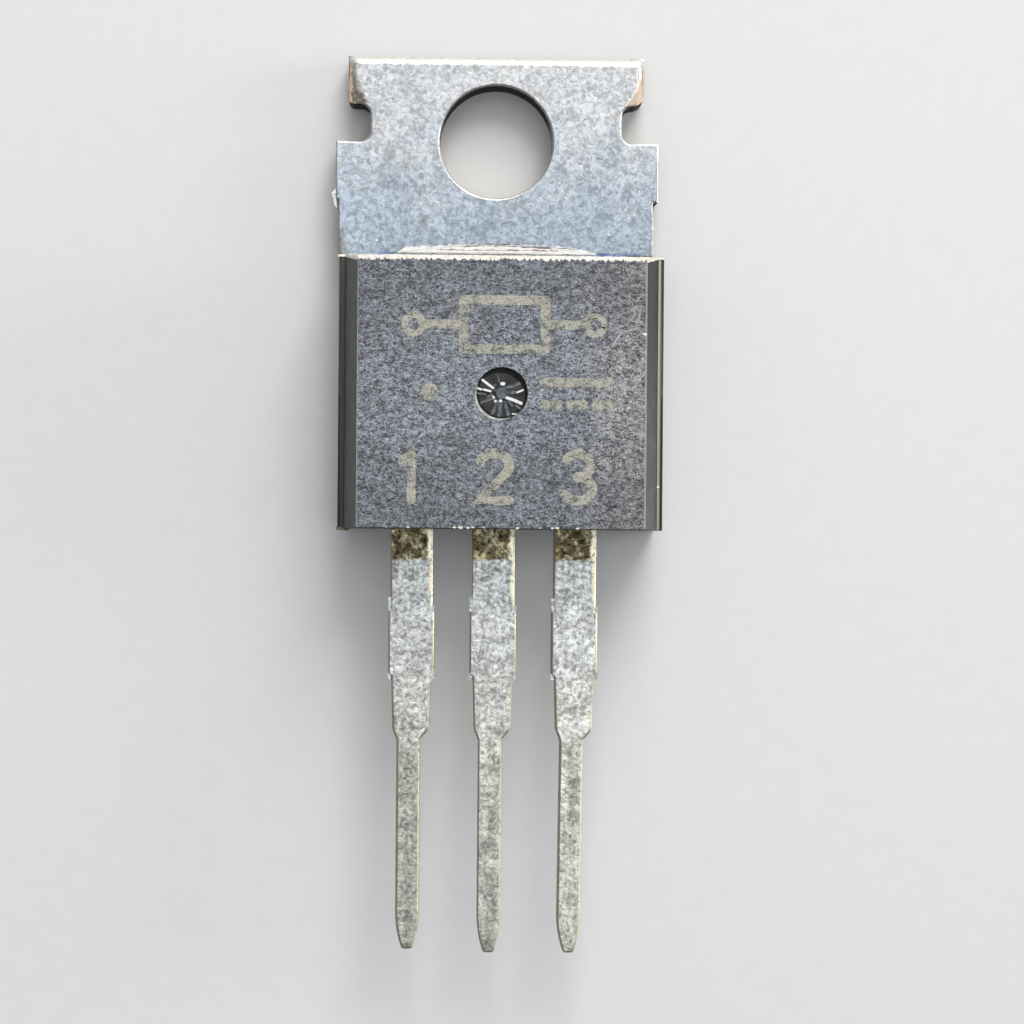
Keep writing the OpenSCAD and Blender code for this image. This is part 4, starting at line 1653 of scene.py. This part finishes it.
@dataclass
class TieBarBurrs(SubAssembly):
    """Torn metal left where the tab was sheared from its strip."""

    left_x: float = -5.09
    right_x: float = 5.01
    ridge_y: float = -3.6
    ridge_step: float = 0.032
    ridge_points: int = 44
    ridge_wander: Point = (-0.012, 0.022)
    ridge_x: Point = (-0.035, 0.01)
    ridge_z: Point = (-0.12, 0.012)
    burr_z: Point = (-0.2, -0.05)
    finish: PlainFinish = PlainFinish(tone("f2f0ea"), tone("b9b4a9"), rough=0.35, metallic=0.7,
                                      mottle_mm=0.15)

    def build(self) -> None:
        """Builds the burr on the left tie bar and the thin ridge along the right of the neck."""
        stock = MeshStock()
        burr = [(0.03, -2.16), (0.03, -1.46), (-0.06, -1.58), (-0.135, -1.68), (-0.12, -1.76), (-0.07, -1.84),
                (-0.07, -1.98)]
        outline = [(self.left_x + x, y) for x, y in burr]
        stock.slab(outline, *(TAB_Z + z for z in self.burr_z))
        sections = []
        low, high = (TAB_Z + z for z in self.ridge_z)
        shifts = ragged_line(random.Random(31), self.ridge_points, *self.ridge_wander, 0.4)
        for i, shift in enumerate(shifts):
            y = self.ridge_y + i * self.ridge_step
            left = self.right_x + self.ridge_x[0] - shift / 2
            right = self.right_x + self.ridge_x[1] + shift
            sections.append([(left, y, low), (left, y, high), (right, y, high), (right, y, low)])
        stock.sweep(sections)
        stock.make("tie_bar_burrs", self.finish.build("torn_tin", self.effects))


@dataclass
class DamBurrs:
    """Small burrs where the bars between the leads were cut away."""

    top_z: float = 2.985
    low_z: float = 2.86
    edge_x: float = 0.725
    inside: float = 0.1
    wander: Point = (-0.02, 0.025)

    def build(self, plating: bpy.types.Material) -> None:
        """Builds the torn ends on both sides of each lead, plated as the leads are.

        Args:
            plating: the material of the leads.
        """
        draw = random.Random(47)
        stock = MeshStock()
        for lead in (-1, 0, 1):
            for side, low, high in ((-1, -14.9, -14.46), (1, -14.9, -14.7),
                                    (-1, -17.0, -16.82), (1, -17.0, -16.78)):
                self._burr(stock, draw, lead * LEAD_PITCH, side, low, high)
        stock.make("dam_burrs", plating)

    def _burr(self, stock: MeshStock, draw: random.Random, middle_x: float, side: int, low: float,
              high: float) -> None:
        """Adds one burr beside a lead.

        Args:
            stock: where it is added.
            draw: the source of random numbers.
            middle_x: the lead's middle.
            side: minus one for the left side and one for the right.
            low: its lower Y.
            high: its upper Y.
        """
        steps = 5
        outer = []
        for i in range(steps + 1):
            reach = self.edge_x + draw.uniform(*self.wander)
            outer.append((middle_x + side * reach, low + (high - low) * i / steps))
        inner = [(middle_x + side * (self.edge_x - self.inside), y) for _, y in outer]
        outline = outer + inner[::-1]
        stock.slab(outline if side > 0 else outline[::-1], self.low_z, self.top_z)


@dataclass
class FaceScuffs(SubAssembly):
    """Fine pale scratches at the upper right of the front face."""

    face_z: float
    width: float = 0.045
    thinner: float = 0.1
    sunk_mm: float = 0.01
    proud_mm: float = 0.004
    overlap_mm: float = 0.001
    finish: PlainFinish = PlainFinish(tone("b9b8be"), tone("85858c"), rough=0.5, mottle_mm=0.15)

    def build(self) -> None:
        """Builds the scratches as thin raised strokes."""
        curves = [
            [(3.56, -6.7), (3.71, -6.46), (3.87, -6.24), (4.11, -6.18), (4.295, -6.12), (4.386, -5.88),
             (4.417, -5.57)],
            [(3.99, -6.52), (4.23, -6.4), (4.51, -6.275)],
            [(3.745, -7.19), (3.84, -6.98), (3.96, -6.89), (4.11, -6.95)],
            [(4.02, -5.98), (4.22, -5.75), (4.3, -5.45)],
            [(3.3, -5.15), (3.38, -5.18), (3.5, -5.17)],
        ]
        stock = MeshStock()
        for k, curve in enumerate(curves):
            width = self.width * (1.0 - self.thinner * k)
            top = self.face_z + self.proud_mm + self.overlap_mm * k
            stock.stroke(curve, width, self.face_z - self.sunk_mm, top)
        stock.make("face_scuffs", self.finish.build("scuffed_epoxy", self.effects))


@dataclass
class StrayFlakes(SubAssembly):
    """Single white flakes that stick to the face's edge, the ledge and the tab."""

    face_z: float
    radius: float = 0.05
    thick: float = 0.012
    finish: PlainFinish = PlainFinish(tone("ffffff"), tone("ecebe6"), rough=0.5, mottle_mm=0.1)

    def build(self) -> None:
        """Builds the flakes as small flat chips."""
        stock = MeshStock()
        for x, y, z, size in ((4.57, -6.3, self.face_z, 1.2), (5.15, -10.96, LEDGE_Z, 0.9),
                              (-3.765, -3.16, TAB_Z, 0.9), (-2.45, -5.2, self.face_z, 0.5),
                              (4.52, -8.9, self.face_z, 0.5)):
            reach = self.radius * size
            stock.slab(arc((x, y), (reach, reach * 0.75), 20, 320, 6), z - self.thick, z + self.thick)
        stock.make("stray_flakes", self.finish.build("stray_chips", self.effects))


@dataclass
class Studio(SubAssembly):
    """Floor, soft light and the camera at the photograph's angle."""

    focal_px: float = 2500.0
    photo_px: float = 1024.0
    sensor_mm: float = 36.0
    turn_deg: Place = (0.032, 1.056, -0.458)
    shift_mm: Place = (-0.528, 11.781, 80.85)
    paper: FloorPaper = FloorPaper()
    floor_half_mm: float = 400.0
    floor_drop_mm: float = 0.01
    sky_low: Colour = tone("9aa0a6")
    sky_high: Colour = tone("f3f6fa")
    sky_way: Place = (0.35, 0.85, 0.38)
    sky_strength: float = 0.55

    def build(self) -> None:
        """Builds the floor, the lights, the surroundings and the camera."""
        self._floor()
        self._lights()
        self._camera()

    def _floor(self) -> None:
        """Lays a wide pale floor just under the part."""
        half = self.floor_half_mm
        mesh = bpy.data.meshes.new("floor")
        corners = [(-half, -half, 0), (half, -half, 0), (half, half, 0), (-half, half, 0)]
        mesh.from_pydata([Vector(c) * MM for c in corners], [], [(0, 1, 2, 3)])
        floor = bpy.data.objects.new("floor", mesh)
        floor.location.z = -self.floor_drop_mm * MM
        bpy.context.scene.collection.objects.link(floor)
        mesh.materials.append(self.paper.build("floor_paper", self.effects))

    def _lights(self) -> None:
        """Hangs one large soft light beyond the tab, one above and one low at the right."""
        aim = (0, -10, 0)
        self._area("key", (60, 210, 180), aim, size_mm=160, watts=0.62)
        self._area("top", (20, 40, 260), aim, size_mm=200, watts=0.12)
        self._area("side", (240, 20, 60), aim, size_mm=90, watts=0.2)
        world = bpy.data.worlds.new("surroundings")
        world.use_nodes = True
        world.node_tree.nodes.clear()
        writer = ShaderWriter(world.node_tree)
        direction = writer.put("TexCoord").outputs["Generated"]
        lean = writer.put("VectorMath", {0: direction, 1: self.sky_way}, operation="DOT_PRODUCT")
        sky = writer.mix(writer.step(lean.outputs["Value"], -0.9, 0.9), self.sky_low, self.sky_high)
        background = writer.put("Background", {"Color": sky, "Strength": self.sky_strength})
        writer.put("OutputWorld", {"Surface": background.outputs[0]})
        bpy.context.scene.world = world
        bpy.context.scene.view_settings.view_transform = "Standard"

    @staticmethod
    def _area(name: str, place: Place, target: Place, size_mm: float, watts: float) -> None:
        """Adds one square soft light.

        Args:
            name: its name.
            place: where it hangs, in millimetres.
            target: what it is aimed at, in millimetres.
            size_mm: the length of its sides.
            watts: its power.
        """
        light = bpy.data.lights.new(name, "AREA")
        light.shape = "SQUARE"
        light.size = size_mm * MM
        light.energy = watts
        lamp = bpy.data.objects.new(name, light)
        lamp.location = Vector(place) * MM
        aim = Vector(target) - Vector(place)
        lamp.rotation_euler = aim.to_track_quat("-Z", "Y").to_euler()
        bpy.context.scene.collection.objects.link(lamp)

    def _camera(self) -> None:
        """Sets the camera where the photograph was taken from."""
        turn = Euler([math.radians(a) for a in self.turn_deg], "XYZ").to_matrix().transposed()
        shift = Vector((-self.shift_mm[0], -self.shift_mm[1], self.shift_mm[2]))
        data = bpy.data.cameras.new("camera")
        data.sensor_fit = "HORIZONTAL"
        data.sensor_width = self.sensor_mm
        data.lens = self.focal_px * self.sensor_mm / self.photo_px
        data.clip_start = 1 * MM
        camera = bpy.data.objects.new("camera", data)
        camera.matrix_world = turn.to_4x4()
        camera.location = turn @ shift * MM
        bpy.context.scene.collection.objects.link(camera)
        bpy.context.scene.camera = camera


@dataclass
class SealedPieces(SubAssembly):
    """Finishes of the die, its solder and the bond wires, which the moulding hides."""

    die: PlainFinish = PlainFinish(tone("8b93a6"), tone("5f6678"), rough=0.25, metallic=0.6, mottle_mm=0.5)
    solder: PlainFinish = PlainFinish(tone("b5b5b8"), tone("8e8e92"), rough=0.45, metallic=0.9, mottle_mm=0.3)
    wire: PlainFinish = PlainFinish(tone("e2e2e6"), tone("c4c4ca"), rough=0.25, metallic=1.0)

    def build(self, dresser: Dresser) -> None:
        """Dresses each sealed piece.

        Args:
            dresser: what dresses them.
        """
        dresser.dress("silicon_die", self.die.build("die_silicon", self.effects))
        dresser.dress("die_attach_solder", self.solder.build("soft_solder", self.effects))
        wire = self.wire.build("drawn_aluminium", self.effects)
        for role in ("input", "output", "sense", "ground"):
            dresser.dress(role + "_bond_wire", wire)


def main() -> None:
    """Builds the looks of the part in order."""
    logging.basicConfig(level=logging.INFO, format="%(message)s")
    effects = SharedEffects()
    dresser = Dresser()
    plating = MetalFinish().build("tin_plate", effects)
    moulding = MouldingFinish().build("moulding", effects)
    in_body = ((-6.0, -12.3, -1.0), (6.0, -3.66, 5.0))
    header_edges = SoftEdges(width=0.075, segments=3, hidden=in_body, corner_width=0.15,
                             corner_from=(4.4, 2.35), pinch_at=(4.33, 1.18))
    dresser.dress("tab_and_centre_lead", plating, header_edges)
    for node in ("input_lead", "output_lead"):
        dresser.dress(node, plating, SoftEdges(width=0.09, segments=3, hidden=in_body))
    pockets = ((-4.1, -12.2, 0.1), (4.5, -4.2, 4.3))
    dresser.dress("moulded_body", moulding, SoftEdges(width=0.03, segments=2, hidden=pockets))
    SealedPieces(effects).build(dresser)
    face_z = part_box("moulded_body")[1][2] / MM
    FrontMarks(effects, face_z).build()
    EjectorMark(effects, face_z).build()
    ClampBurnish(effects).build()
    MouldFlash(effects, face_z).build(moulding)
    TieBarBurrs(effects).build()
    DamBurrs().build(plating)
    FaceScuffs(effects, face_z).build()
    StrayFlakes(effects, face_z).build()
    Studio(effects).build()


if __name__ == "__main__":
    main()
